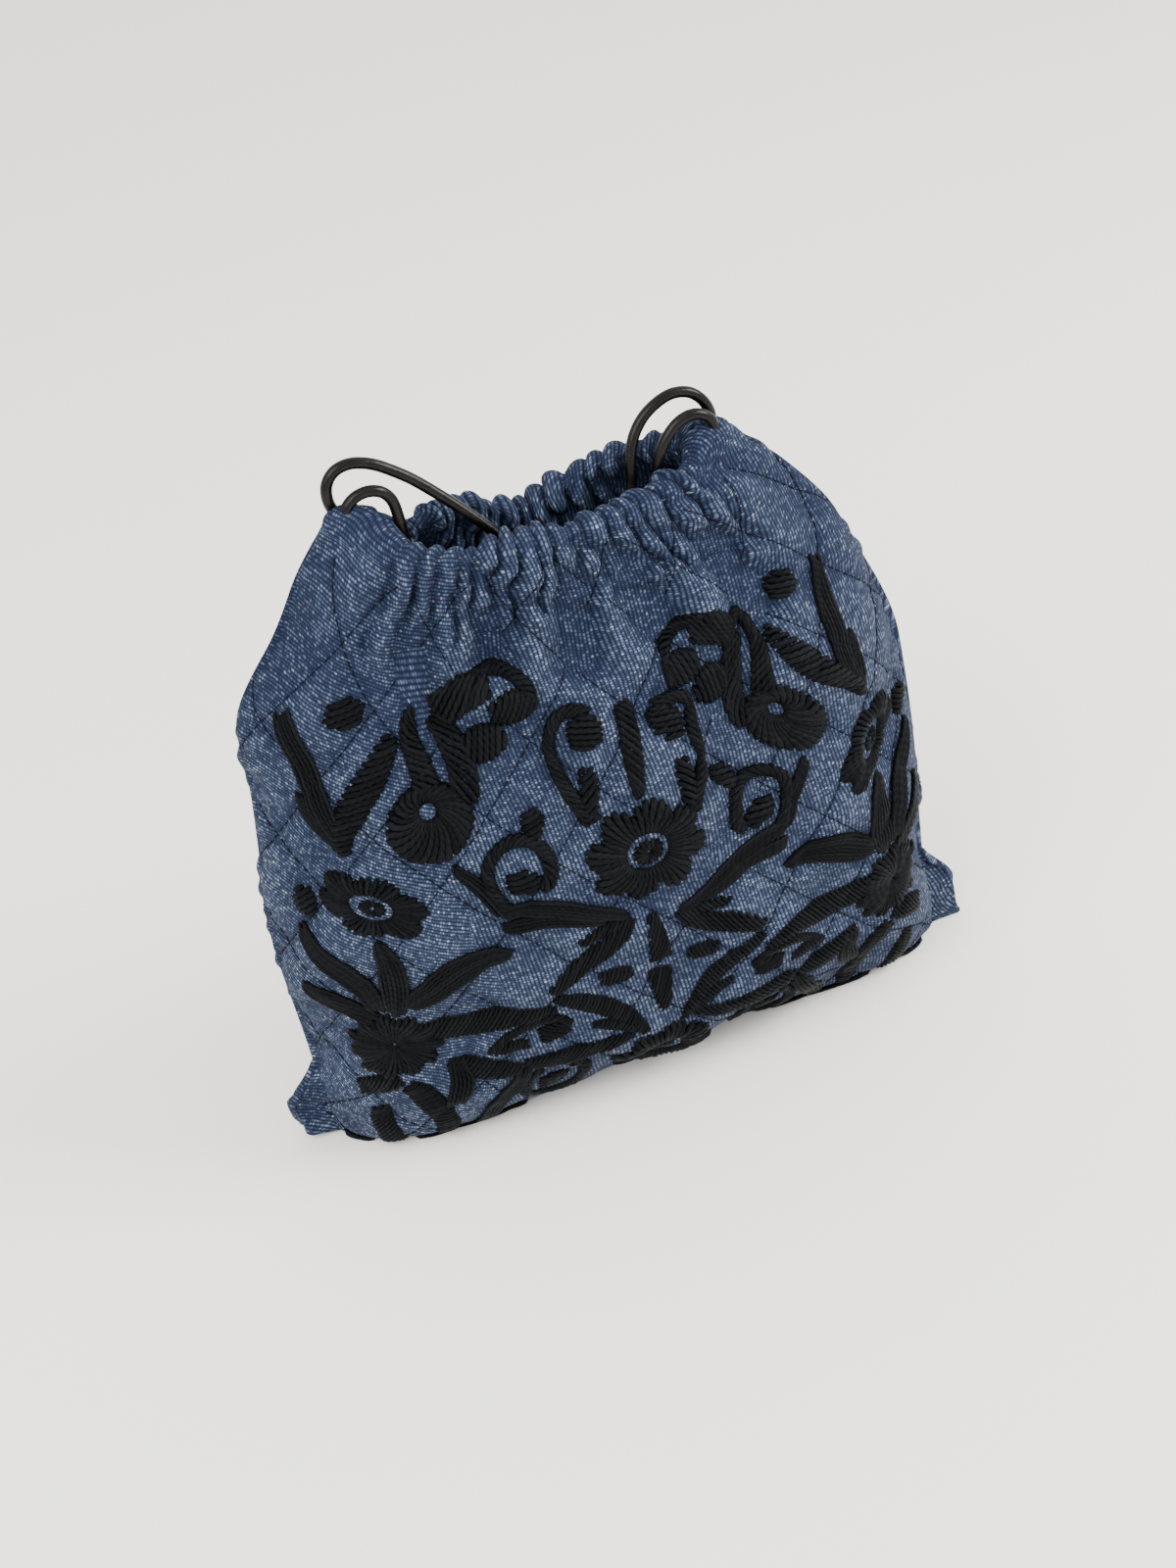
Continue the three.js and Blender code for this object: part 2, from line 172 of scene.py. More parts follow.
# The top corners at the side seams stand up round the cords. The back rim rises and dips: a row gives a
# place across, how far the lift reaches and how high it goes.
CORNER = {"left": 5.6, "right": 3.0, "up": (206.0, 228.0), "across": (0.64, 0.90), "puff": 3.2,
          "puff_in": 0.06}
BACK_RIM = [
    (-0.36, 0.2, 3.5),
    (-0.02, 0.16, -7.0),
    (0.52, 0.26, 6.0),
]
BACK_RIM_LEAN = 0.36
BACK_RIM_UP = (190.0, 228.0)


def settle(panel, points, ups):
    """Moves the smooth panel's points to where they lie on the filled bag."""
    corner = smooth(np.abs(ACROSS), *CORNER["across"])
    corner *= np.where(ACROSS < 0, CORNER["left"], CORNER["right"])
    points[:, :, 2] += smooth(ups, *CORNER["up"])[:, None] * corner
    if panel == "back":
        rise = smooth(ups, *BACK_RIM_UP)[:, None]
        for across, reach, lift in BACK_RIM:
            lifted = rise * lift * np.exp(-((ACROSS - across) / reach) ** 2)
            points[:, :, 2] += lifted
            points[:, :, 1] -= BACK_RIM_LEAN * lifted
    for side, up, reach, move in SETTLED:
        edge = smooth(side * ACROSS, SETTLED_FROM, 1.0)
        points[:, :, 0] += move * np.exp(-((ups - up) / reach) ** 2)[:, None] * edge
    low = 1 - smooth(points[:, :, 2], 0, TURNED_CORNER["height"])
    tip = smooth(-ACROSS, TURNED_CORNER["from"], 1.0)
    points[:, :, 0] += TURNED_CORNER["move"] * low * tip
    points[:, :, 2] += TURNED_CORNER["lift"] * low * tip
    if panel == "front":
        tucked = smooth(ACROSS, *TUCK["left"]) * (1 - smooth(ACROSS, *TUCK["right"]))
        low = 1 - smooth(ups, *TUCK["up"])
        points[:, :, 1] *= 1 - TUCK["share"] * low[:, None] * tucked


def cloth_rows(panel):
    """Points of the panel before its relief, row by row, with each row's place up the cloth."""
    thickness = 2 * ROLL["half_thickness"]
    rows = [(up, 0.0, 0.0) for up in OUTER_UPS]
    for angle in ROLL_TURNS:
        inset = ROLL["half_thickness"] * (1 - np.cos(angle))
        rows.append((ROLL["up"], max(inset, 0.01), ROLL["height"] * np.sin(angle)))
    rows += [(up, thickness, 0.0) for up in np.linspace(ROLL["up"], HEM["up"], HEM["rows"])]
    rows += [(HEM["up"] - 1, thickness - 0.6, 0.0), (HEM["up"] - 1.6, HEM["edge"], 0.0)]
    rows += [(up, WALL, FLOOR_LIFT * (1 - smooth(up, 23, 60))) for up in INNER_UPS]
    points = [cloth_row(panel, up, ACROSS, inset, lift) for up, inset, lift in rows]
    points.append(points[-1] * (1, 0.02, 1))
    points = np.array(points)
    ups = np.array([row[0] for row in rows] + [0.0])
    settle(panel, points, ups)
    return points, ups


# Gathers: the casing is drawn together on the cord in rounded puffs with sharp valleys between, and
# its seam pinches it in below. Widths, heights and reach are ranges that each puff draws from.
GATHERS = {"ends": (-0.70, 0.66), "blend": 0.05, "count": 16, "height": 5.6, "seam": 209.5, "below": 8.5,
           "widths": (0.65, 1.4), "heights": (0.72, 1.12), "reach": (0.35, 1.5)}
PINCH = {"depth": 2.4, "width": 5.0}


def gathers(across, up, seed):
    """Height of the puffs in the casing, which fade out below its seam."""
    draw = np.random.default_rng(seed)
    left, right = GATHERS["ends"]
    blend, count, seam = (GATHERS[key] for key in ("blend", "count", "seam"))
    edges = np.concatenate([[0], np.cumsum(draw.uniform(*GATHERS["widths"], count))])
    edges = left + edges / edges[-1] * (right - left)
    heights = draw.uniform(*GATHERS["heights"], count)
    reach = GATHERS["below"] * draw.uniform(*GATHERS["reach"], count)
    sway = 0.012 * np.sin(0.19 * up + 9 * across) + 0.006 * np.sin(0.43 * up + 23 * across)
    place = across + sway
    k = np.clip(np.searchsorted(edges, place) - 1, 0, count - 1)
    t = np.clip((place - edges[k]) / (edges[k + 1] - edges[k]), 0, 1)
    sharp = 1.0 - 0.5 * smooth(up, seam - 4, seam + 8)
    lumps = 1 + 0.28 * np.sin(0.40 * up + 2.3 * k)
    puff = heights[k] * lumps * (4 * t * (1 - t)) ** sharp
    inside = smooth(place, left - blend, left + blend) * (1 - smooth(place, right - blend, right + blend))
    strength = 0.6 + 0.4 * smooth(up, seam, seam + 8)
    lower = 0.5 * strength * smooth(up, seam - GATHERS["below"], seam)
    strength = strength * smooth(up, seam - reach[k], seam)
    pinch = PINCH["depth"] * np.exp(-((up - seam) / PINCH["width"]) ** 2)
    return inside * (GATHERS["height"] * (puff * strength - lower) - pinch * (1.2 - puff))


# Main folds that run down from the gathers, and soft creases where the panel sags.
# A row gives a path of places across and up, a depth inward, which is negative for a ridge, and a width.
FOLD_STRENGTH = 1.5
FOLDS = {
    "front": [
        ([(-0.58, 209), (-0.51, 198), (-0.45, 176)], 5.0, 5.0),
        ([(-0.4, 212), (-0.34, 178)], -3.6, 11.0),
        ([(-0.26, 215), (-0.3, 187)], 6.0, 5.8),
        ([(-0.13, 212), (-0.19, 176)], -3.2, 9.0),
        ([(0.02, 215), (-0.06, 180)], 6.2, 5.8),
        ([(0.09, 214), (0.15, 168)], -3.6, 8.0),
        ([(0.22, 215), (0.24, 184)], 6.2, 5.8),
        ([(0.34, 213), (0.38, 184)], -3.6, 9.0),
        ([(0.6, 214), (0.51, 204), (0.54, 172)], 6.4, 6.0),
        ([(0.74, 228), (0.68, 190)], -3.0, 11.0),
        ([(0.25, 209), (0.333, 185), (0.458, 153), (0.577, 104)], 1.5, 9.0),
        ([(0.43, 213), (0.515, 195), (0.604, 173), (0.68, 130)], -1.6, 12.0),
        ([(-0.3, 116), (0.05, 109), (0.4, 107)], 1.6, 8.0),
        ([(-0.93, 92), (-0.8, 60)], 2.2, 9.0),
        ([(0.93, 84), (0.84, 58)], 2.2, 9.0),
    ],
    "back": [
        ([(-0.58, 236), (-0.48, 216), (-0.52, 178)], 5.0, 5.5),
        ([(-0.3, 214), (-0.27, 180)], -3.2, 8.0),
        ([(-0.08, 216), (-0.03, 178)], 4.0, 5.0),
        ([(0.14, 214), (0.18, 180)], -3.2, 8.0),
        ([(0.32, 216), (0.29, 184)], 3.8, 5.0),
        ([(0.6, 236), (0.5, 216), (0.45, 182)], 4.4, 5.5),
        ([(-0.34, 102), (0.02, 110), (0.36, 118)], 1.6, 8.0),
        ([(-0.93, 88), (-0.82, 58)], 2.2, 9.0),
        ([(0.93, 90), (0.82, 60)], 2.2, 9.0),
    ],
}


def fold_depth(x, up, path, width):
    """Share of one fold's depth: 1 on its line, fading sideways and towards its low end."""
    places = np.array([(HALF_WIDTH * across, high) for across, high in path])
    lengths = np.linalg.norm(np.diff(places, axis=0), axis=1)
    share = np.zeros_like(x)
    done = 0.0
    for (x0, up0), (x1, up1), length in zip(places[:-1], places[1:], lengths):
        t = np.clip(((x - x0) * (x1 - x0) + (up - up0) * (up1 - up0)) / length ** 2, 0, 1)
        away = np.hypot(x - x0 - t * (x1 - x0), up - up0 - t * (up1 - up0))
        along = (done + t * length) / lengths.sum()
        fade = smooth(along, -0.05, 0.15) * (1 - smooth(along, 0.55, 1.0))
        share = np.maximum(share, fade * np.exp(-(away / (width * (1 + along))) ** 2))
        done += length
    return share


# Quilting: two families of lines make diamonds, stitched through the wadding.
QUILT = {"wide": 34.0, "tall": 39.0, "x": -59.0, "up": 132.0, "puff": 0.55, "dome": 0.5, "line": 1.5}
QUILT_PITCH = 1 / math.hypot(1 / QUILT["wide"], 1 / QUILT["tall"])


def quilt_lines(x, up):
    """The two counts of quilting lines at a place: a line runs where a count is whole."""
    right = (x - QUILT["x"]) / QUILT["wide"]
    rise = (up - QUILT["up"]) / QUILT["tall"]
    return right + rise, right - rise


def quilt_height(x, up):
    """Height of the wadding between the lines."""
    first, second = quilt_lines(x, up)
    away = np.minimum(np.abs(first - np.round(first)), np.abs(second - np.round(second))) * QUILT_PITCH
    dome = np.abs(np.sin(np.pi * first) * np.sin(np.pi * second))
    return QUILT["puff"] * (1 - np.exp(-(away / QUILT["line"]) ** 2)) + QUILT["dome"] * dome


# Lengths and heights of the waves that make the cloth uneven.
SAG_WAVES = ((85, 0.8), (60, 0.7), (44, 0.5), (31, 0.32), (22, 0.2), (15, 0.13), (11, 0.09))


def sag(x, up, seed):
    """Soft unevenness of the hand-filled cloth."""
    draw = np.random.default_rng(seed)
    height = np.zeros_like(x)
    for length, size in SAG_WAVES:
        for _ in range(2):
            angle, phase = draw.uniform(0, 2 * np.pi, 2)
            height += size * np.sin(2 * np.pi / length * (x * np.cos(angle) + up * np.sin(angle)) + phase)
    return height


def blurred(field, reach):
    """Mean of a field over a square of cells."""
    size = 2 * reach
    for axis in (0, 1):
        sides = [(reach, reach) if k == axis else (0, 0) for k in (0, 1)]
        total = np.cumsum(np.pad(field, sides, mode="edge"), axis)
        last = total.shape[axis]
        field = (total.take(range(size, last), axis) - total.take(range(last - size), axis)) / size
    return field


# The casing always covers its cord, the flat ears at the lower corners stay a little padded, and the side
# seams pucker the cloth beside them.
CASING_FLOOR = {"cover": 1.7, "up": (197, 209), "free": 12.0}
EAR_AREA = {"across": (0.80, 0.88), "up": (48, 66), "cover": 1.2}
PUCKER = {"height": 0.5, "spacing": 8.5, "reach": 9.0, "groove": 2.6}


def cloth_relief(panel, up, seed):
    """Height of gathers, folds, quilting and sag over the smooth panel."""
    across, high = np.meshgrid(ACROSS, up)
    x = HALF_WIDTH * across
    from_seam = HALF_WIDTH * (1 - np.abs(across))
    relief = gathers(across, high, seed)
    for path, depth, width in FOLDS[panel]:
        relief -= FOLD_STRENGTH * depth * fold_depth(x, high, path, width)
    flat = smooth(high, BASE_UP, BASE_UP + 16)
    relief += flat * (quilt_height(x, high) - 0.8 + sag(x, high, seed + 1))
    ear = smooth(np.abs(across), *EAR_AREA["across"]) * (1 - smooth(high, *EAR_AREA["up"]))
    wave = np.sin(2 * np.pi * high / PUCKER["spacing"] + 3 * np.sin(high / 17))
    pucker = PUCKER["height"] * wave * np.exp(-(from_seam / PUCKER["reach"]) ** 2)
    relief += flat * ((1 - ear) * pucker - np.exp(-(from_seam / PUCKER["groove"]) ** 2))
    inner, outer = CORNER["across"]
    corner = smooth(np.abs(across), inner + CORNER["puff_in"], outer)
    relief += CORNER["puff"] * corner * smooth(high, *CORNER["up"])
    relief += EAR_AREA["cover"] * ear
    below = 1 - smooth(high, *CASING_FLOOR["up"])
    floor = -CASING_FLOOR["cover"] - CASING_FLOOR["free"] * below * (1 - ear)
    return np.maximum(relief, floor) * smooth(from_seam, 0, 2.5)


WEAVE_SOFT = 8
RIM_EVEN = 0.45


def weave_places(points):
    """Lengths along the cloth from its middle column and its first row, so the weave keeps its size."""
    soft = np.stack([blurred(points[:, :, k], WEAVE_SOFT) for k in range(3)], axis=-1)
    over = np.cumsum(np.linalg.norm(np.diff(soft, axis=1, prepend=soft[:, :1]), axis=2), axis=1)
    along = np.cumsum(np.linalg.norm(np.diff(soft, axis=0, prepend=soft[:1]), axis=2), axis=0)
    return np.stack([over - over[:, [points.shape[1] // 2]], along], axis=-1)


def panel_surface(panel, seed):
    """The finished panel's points, the rows' places up the cloth, the weave's places and the relief."""
    points, up = cloth_rows(panel)
    weave = weave_places(points)
    side = 1 if panel == "front" else -1
    normal = unit(side * np.cross(np.gradient(points, axis=1), np.gradient(points, axis=0)))
    relief = cloth_relief(panel, up, seed)
    rolled = len(OUTER_UPS) + ROLL["steps"]
    relief[len(OUTER_UPS):rolled] *= (1 - RIM_EVEN * np.sin(ROLL_TURNS))[:, None]
    outside = rolled + HEM["rows"]
    relief[outside:] = 0
    relief[outside - 3:outside] *= np.array([0.75, 0.5, 0.25])[:, None]
    points = points + normal * relief[:, :, None]
    points[:, :, 1] = -side * np.maximum(-side * points[:, :, 1], SEAM_CLEAR)
    points[:, :, 2] = np.maximum(points[:, :, 2], 0)
    return points, up, weave, relief


def zip_strip(first, second, height):
    """Triangles between two chains of points that climb side by side."""
    faces = []
    i = 0
    j = 0
    while i < len(first) - 1 or j < len(second) - 1:
        if j == len(second) - 1 or (i < len(first) - 1 and height[first[i + 1]] <= height[second[j + 1]]):
            faces.append((first[i], first[i + 1], second[j]))
            i += 1
        else:
            faces.append((first[i], second[j + 1], second[j]))
            j += 1
    return [face for face in faces if len(set(face)) == 3]


def panel_mesh(name, panel, points, weave, wear):
    """Closed mesh of one panel, with its place on the flat cloth as a UV map."""
    rows, columns = points.shape[:2]
    index = np.arange(rows * columns).reshape(rows, columns)
    nearer = np.roll(index, -1, axis=0)
    quads = np.stack([index[:, :-1], index[:, 1:], nearer[:, 1:], nearer[:, :-1]], axis=-1).reshape(-1, 4)
    faces = quads.tolist()
    crest = len(OUTER_UPS) + ROLL["steps"] // 2
    for column, turned in ((0, True), (columns - 1, False)):
        chain = index[:crest + 1, column].tolist()
        other = index[crest:, column].tolist()[::-1]
        strip = zip_strip(chain, other, points[:, :, 2].ravel())
        faces += [face[::-1] for face in strip] if turned else strip
    if panel == "back":
        faces = [face[::-1] for face in faces]
    mesh = bpy.data.meshes.new(name)
    mesh.from_pydata((points.reshape(-1, 3) * MM).tolist(), [], faces)
    corners = np.empty(len(mesh.loops), dtype=np.int32)
    mesh.loops.foreach_get("vertex_index", corners)
    places = weave.reshape(-1, 2)[corners] * MM
    mesh.uv_layers.new(name="pattern").data.foreach_set("uv", places.ravel())
    mesh.attributes.new("wear", "FLOAT", "POINT").data.foreach_set("value", wear.ravel())
    across = np.broadcast_to(HALF_WIDTH * ACROSS[None, :], wear.shape)
    mesh.attributes.new("across", "FLOAT", "POINT").data.foreach_set("value", across.ravel())
    mesh.polygons.foreach_set("use_smooth", [True] * len(mesh.polygons))
    mesh.update()
    return bpy.data.objects.new(name, mesh)


class Wire:
    """A node socket. Sums on it add Math nodes, and node() adds any other node to its tree."""

    def __init__(self, tree, socket=None):
        self.tree = tree
        self.socket = socket

    def node(self, kind, settings, sockets, out=0):
        made = self.tree.nodes.new(kind)
        for name, value in settings.items():
            setattr(made, name, value)
        for key, value in sockets.items():
            if isinstance(value, Wire):
                self.tree.links.new(value.socket, made.inputs[key])
            else:
                made.inputs[key].default_value = value
        return Wire(self.tree, made.outputs[out])

    def sum(self, operation, *values):
        return self.node("ShaderNodeMath", {"operation": operation}, dict(enumerate(values)))

    def mix(self, low, high):
        return self.node("ShaderNodeMix", {"data_type": "RGBA"}, {0: self, 6: low, 7: high}, 2)

    def step(self, low, high):
        sockets = {"Value": self, "From Min": low, "From Max": high}
        return self.node("ShaderNodeMapRange", {"interpolation_type": "SMOOTHSTEP"}, sockets)

    def __add__(self, other):
        return self.sum("ADD", self, other)

    def __sub__(self, other):
        return self.sum("SUBTRACT", self, other)

    def __rsub__(self, other):
        return self.sum("SUBTRACT", other, self)

    def __mul__(self, other):
        return self.sum("MULTIPLY", self, other)

    __radd__ = __add__
    __rmul__ = __mul__


def new_finish(name, **sockets):
    """A material with a Principled shader. Its plain values are set on the shader's own sockets."""
    material = bpy.data.materials.new(name)
    material.use_nodes = True
    tree = material.node_tree
    shader = tree.nodes["Principled BSDF"]
    for key, value in sockets.items():
        shader.inputs[key.replace("_", " ")].default_value = value
    return material, Wire(tree), shader


def feed(wire, shader, **sockets):
    """Links values that change over a surface to the shader."""
    for key, value in sockets.items():
        wire.tree.links.new(value.socket, shader.inputs[key.replace("_", " ")])


def surface_value(wire, name):
    """A value that is stored on the mesh."""
    return wire.node("ShaderNodeAttribute", {"attribute_name": name}, {}, 2)


def noise(place, scale, detail, roughness=0.5):
    """Noise over a surface, from the places that a wire carries."""
    sockets = {"Vector": place, "Scale": scale, "Detail": detail, "Roughness": roughness}
    return place.node("ShaderNodeTexNoise", {}, sockets)


def bumped(height, strength, distance):
    """Normals of a surface with a fine relief."""
    sockets = {"Height": height, "Strength": strength, "Distance": distance}
    return height.node("ShaderNodeBump", {}, sockets)


# Washed indigo denim: a twill of dark warp yarns that are rubbed pale where they come to the surface, in
# short dashes along slanting lines. The gathering draws the cloth round, so the lines lie flatter at the
# left, and the ridges are paler with wear. The broad folds carry painted light and shade, paler on their
# bulges and darker in their hollows, and the cloth is made darker towards the top.
TWILL = {"spacing": 1.22, "length": 0.8, "left": -16.0, "rest": -84.0, "change": -52.0, "ragged": 34.0}
INDIGO_DARK = (0.0024, 0.0053, 0.0180, 1)
INDIGO = (0.0084, 0.0180, 0.055, 1)
# Pale indigo of the worn ridges, also used as painted light on the bulges of the broad folds.
INDIGO_WORN_AND_LIT = (0.0235, 0.0425, 0.098, 1)
WEFT = (0.27, 0.325, 0.40, 1)
WEFT_BARE = (0.54, 0.53, 0.47, 1)


def denim_finish():
    material, wire, shader = new_finish("denim", Specular_IOR_Level=0.2)
    place = wire.node("ShaderNodeUVMap", {"uv_map": "pattern"}, {})
    flat = place.node("ShaderNodeVectorMath", {"operation": "SCALE"}, {0: place, "Scale": 1 / MM})
    x, y = (wire.node("ShaderNodeSeparateXYZ", {}, {0: flat}, axis) for axis in (0, 1))
    slub = noise(flat, 1.1, 2)
    sway = noise(flat, 0.05, 2)
    flatter, steeper = (math.radians(TWILL[side]) for side in ("left", "rest"))
    across = surface_value(wire, "across")
    turned = (across + (sway - 0.5) * TWILL["ragged"] * 2 - TWILL["change"]).step(-0.3, 0.3)
    run_x = turned * (math.cos(steeper) - math.cos(flatter)) + math.cos(flatter)
    run_y = turned * (math.sin(steeper) - math.sin(flatter)) + math.sin(flatter)
    lines = (y * run_x - x * run_y + sway * 2.5 + slub * 0.5) * (1 / TWILL["spacing"])
    line = wire.sum("FLOOR", lines)
    jitter = wire.node("ShaderNodeTexWhiteNoise", {"noise_dimensions": "1D"}, {"W": line})
    dashes = (x * run_x + y * run_y + slub * 0.4) * (1 / TWILL["length"]) + jitter * 7.0
    cell = wire.node("ShaderNodeCombineXYZ", {}, {0: line, 1: wire.sum("FLOOR", dashes), 2: 0.0})
    chance = wire.node("ShaderNodeTexWhiteNoise", {"noise_dimensions": "2D"}, {"Vector": cell})
    from_line = wire.sum("ABSOLUTE", wire.sum("FRACT", lines) - 0.5)
    from_middle = wire.sum("ABSOLUTE", wire.sum("FRACT", dashes) - 0.5)
    on_line = 1 - from_line.step(0.08, 0.44)
    dash = on_line * (1 - from_middle.step(0.18, 0.5))
    grain = noise(flat, 1.6, 2, 0.6)
    cloud = noise(flat, 0.03, 3, 0.55)
    patch = noise(flat, 0.16, 3, 0.55)
    # The stored value is real wear on the ridges plus painted light and shade on the broad folds, less
    # towards the top.
    worn_and_shaded = (surface_value(wire, "wear") * 1.05 + cloud * 0.5 + patch * 0.45 - 0.52).step(0.0, 0.95)
    body = worn_and_shaded.mix(INDIGO, INDIGO_WORN_AND_LIT)
    tone = (chance * 0.35 + grain * 0.3 + on_line * 0.45 - 0.2).step(0.0, 1.0)
    warp_colour = tone.mix(INDIGO_DARK, body)
    bright = wire.sum("POWER", chance, 2.4)
    faded = dash * (bright * 0.6 + 0.07) * (0.45 + 0.6 * worn_and_shaded) * (0.6 + 0.5 * grain)
    weft_colour = chance.step(0.975, 0.998).mix(WEFT, WEFT_BARE)
    colour = wire.sum("MINIMUM", faded, 1.0).mix(warp_colour, weft_colour)
    bump = bumped(dash * 0.9 + slub * 0.6, 0.6, 0.0003)
    feed(wire, shader, Base_Color=colour, Normal=bump, Roughness=0.95 - 0.1 * worn_and_shaded)
    return material


# How much darker the denim is made towards the top of the panel, outside and inside.
TOP_DARKER = 0.38
PANEL_SEED = {"front": 4, "back": 15}
denim = denim_finish()
surfaces = {}
for panel in ("front", "back"):
    points, up, weave, relief = panel_surface(panel, PANEL_SEED[panel])
    # Real wear pales the ridges of the gathers and the quilting. The broad folds are painted paler on
    # their bulges and darker in their hollows as painted light and shade, and the cloth is made darker
    # towards the top.
    ridges = relief - blurred(relief, 6)
    broad = relief - blurred(relief, 22)
    wear = 0.06 + 0.45 * smooth(ridges, -0.9, 1.1) + 0.55 * smooth(broad, -2.6, 2.2)
    wear -= TOP_DARKER * smooth(up, 150, 205)[:, None]
    piece = panel_mesh(f"{panel}_cloth", panel, points, weave, wear)
    piece.data.materials.append(denim)
    bpy.context.collection.objects.link(piece)
    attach(piece, "root")
    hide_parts(f"{panel}_panel")
    surfaces[panel] = points

# Drawstring
# One round leather cord runs through both casings. It leaves them at the top corners, where the side
# seams are left open, and the slack is tucked into the mouth as a loop at each corner.
CORD = {"radius": 1.75, "sides": 16, "step": 1.0, "apart": 2.5, "gap": 0.6, "inset": 2.6,
        "exit_depth": 4.0}
CASING = {"up": 224.0, "climb": 8.0, "inset": 4.25, "end": 0.92, "steps": 25}
LOOPS = {
    "left": [
        (-61, -2.4, 215.3), (-60.1, -2.4, 218.7), (-57.2, -2.5, 221.4), (-53.1, -2.6, 222.3),
        (-49.1, -2.4, 220.9), (-46.6, -2, 217.5), (-45.6, -1.5, 211.5), (-45.4, -1.4, 203.5),
        (-44.4, -1.6, 194), (-41, -2.5, 179), (-33, -3, 166.5), (-20.5, -3, 160.5), (-10.5, -3, 166),
        (-8.2, -3, 178), (-17, -2, 195.4), (-36.3, 1.6, 217.6), (-43.5, 2.2, 223.9), (-49.8, 2.6, 228),
        (-55.6, 2.8, 229.6), (-60.2, 2.8, 228.6), (-63.1, 2.7, 225.4), (-63.9, 2.5, 221),
        (-62.9, 2.4, 216.8),
    ],
    "right": [
        (53.4, -2.4, 209.3), (52.4, -2.5, 213.3), (49.4, -2.7, 216.1), (45.4, -2.9, 216.8),
        (41.3, -3, 215.3), (37.1, -3, 211), (34.2, -3, 205), (33, -3, 197), (33.6, -3, 186),
        (34.1, -3, 175), (32.5, -3, 169.9), (28.5, -3, 167), (23.5, -3, 167), (19.5, -3, 169.9),
        (17.9, -3, 174.6), (19.3, -2.8, 183), (23.4, -2, 192), (25.6, -0.9, 199.5), (26.7, 0.4, 206.5),
        (28.9, 1.5, 212.7), (32.6, 2.1, 217.6), (37.7, 2.5, 221), (43.4, 2.8, 222.5), (48.8, 2.8, 221.2),
        (52.6, 2.7, 217.4), (54.3, 2.6, 212.8), (53.9, 2.5, 208.8),
    ],
}
SIDES = {"left": -1.0, "right": 1.0}
CURVE_SPANS = (((0, 1), (1, 2), (2, 3)), ((0, 2), (1, 3)), ((1, 2),))


def smooth_route(places, step):
    """Centripetal curve through given places, as points a step apart."""
    places = np.asarray(places, dtype=float)
    ends = np.concatenate([2 * places[:1] - places[1:2], places, 2 * places[-1:] - places[-2:-1]])
    route = []
    for four in zip(ends[:-3], ends[1:-2], ends[2:-1], ends[3:]):
        steps = [np.linalg.norm(after - before) ** 0.5 for before, after in zip(four, four[1:])]
        knots = np.concatenate([[0], np.cumsum(steps)])
        t = np.linspace(knots[1], knots[2], 12, endpoint=False)[:, None]
        curve = four
        for spans in CURVE_SPANS:
            curve = [((knots[j] - t) * p + (t - knots[i]) * q) / (knots[j] - knots[i])
                     for (i, j), p, q in zip(spans, curve, curve[1:])]
        route.append(curve[0])
    route = np.concatenate(route + [places[-1:]])
    run = run_along(route)
    even = np.linspace(0, run[-1], max(2, round(run[-1] / step) + 1))
    return np.stack([np.interp(even, run, route[:, k]) for k in range(route.shape[1])], axis=1)


def cord_exit(panel, side):
    """Where a casing's cord turns upward inside a top corner."""
    corner = cloth_row("front", CREST_UP, np.array([side]))[0]
    y = -CORD["apart"] if panel == "front" else CORD["apart"]
    return np.array([corner[0] - side * CORD["inset"], y, corner[2] - CORD["exit_depth"]])


def casing_places(panel):
    """Places of the cord inside one casing, from the left corner to the right corner."""
    stations = np.linspace(-1, 1, CASING["steps"])
    stations = stations[np.abs(stations) <= CASING["end"]]
    inside = []
    for across in stations:
        up = CASING["up"] + CASING["climb"] * across ** 4
        inside.append(cloth_row(panel, up, np.array([across]), CASING["inset"])[0])
    return [cord_exit(panel, -1.0), *inside, cord_exit(panel, 1.0)]


def loop_places(side_name):
    """Places of the free loop at one corner, from the front casing's exit to the back casing's."""
    above = np.array([0, 0, CORD["gap"]])
    first, last = (cord_exit(panel, SIDES[side_name]) + above for panel in ("front", "back"))
    return [first, *LOOPS[side_name], last]


def cord_mesh(name, route):
    """Round tube along a route, with length and turn as its UV map."""
    tangent = unit(np.gradient(route, axis=0))
    sides = CORD["sides"]
    turns = np.linspace(0, 2 * np.pi, sides, endpoint=False)[:, None]
    across = np.cross(tangent[0], (0.3, 1.0, 0.2))
    rings = []
    for point, direction in zip(route, tangent):
        across = unit(across - direction * across.dot(direction))
        over = np.cross(direction, across)
        rings.append(point + CORD["radius"] * (np.cos(turns) * across + np.sin(turns) * over))
    index = np.arange(len(route) * sides).reshape(len(route), sides).tolist()
    faces = [index[0][::-1], index[-1]]
    places = [[(0, k / sides) for k in range(sides)]] * 2
    for r in range(len(route) - 1):
        start, end = (place * CORD["step"] * MM for place in (r, r + 1))
        for k in range(sides):
            n = (k + 1) % sides
            low, high = k / sides, (k + 1) / sides
            faces.append([index[r][k], index[r][n], index[r + 1][n], index[r + 1][k]])
            places.append([(start, low), (start, high), (end, high), (end, low)])
    mesh = bpy.data.meshes.new(name)
    mesh.from_pydata((np.concatenate(rings) * MM).tolist(), [], faces)
    mesh.uv_layers.new(name="pattern").data.foreach_set("uv", np.concatenate(places).ravel())
    mesh.polygons.foreach_set("use_smooth", [len(face) == 4 for face in faces])
    mesh.update()
    return bpy.data.objects.new(name, mesh)


# Dark brown leather, almost black, with a fine grain and rubbed highlights.
LEATHER_DARK = (0.0016, 0.0013, 0.0012, 1)
LEATHER_RUBBED = (0.007, 0.005, 0.0042, 1)


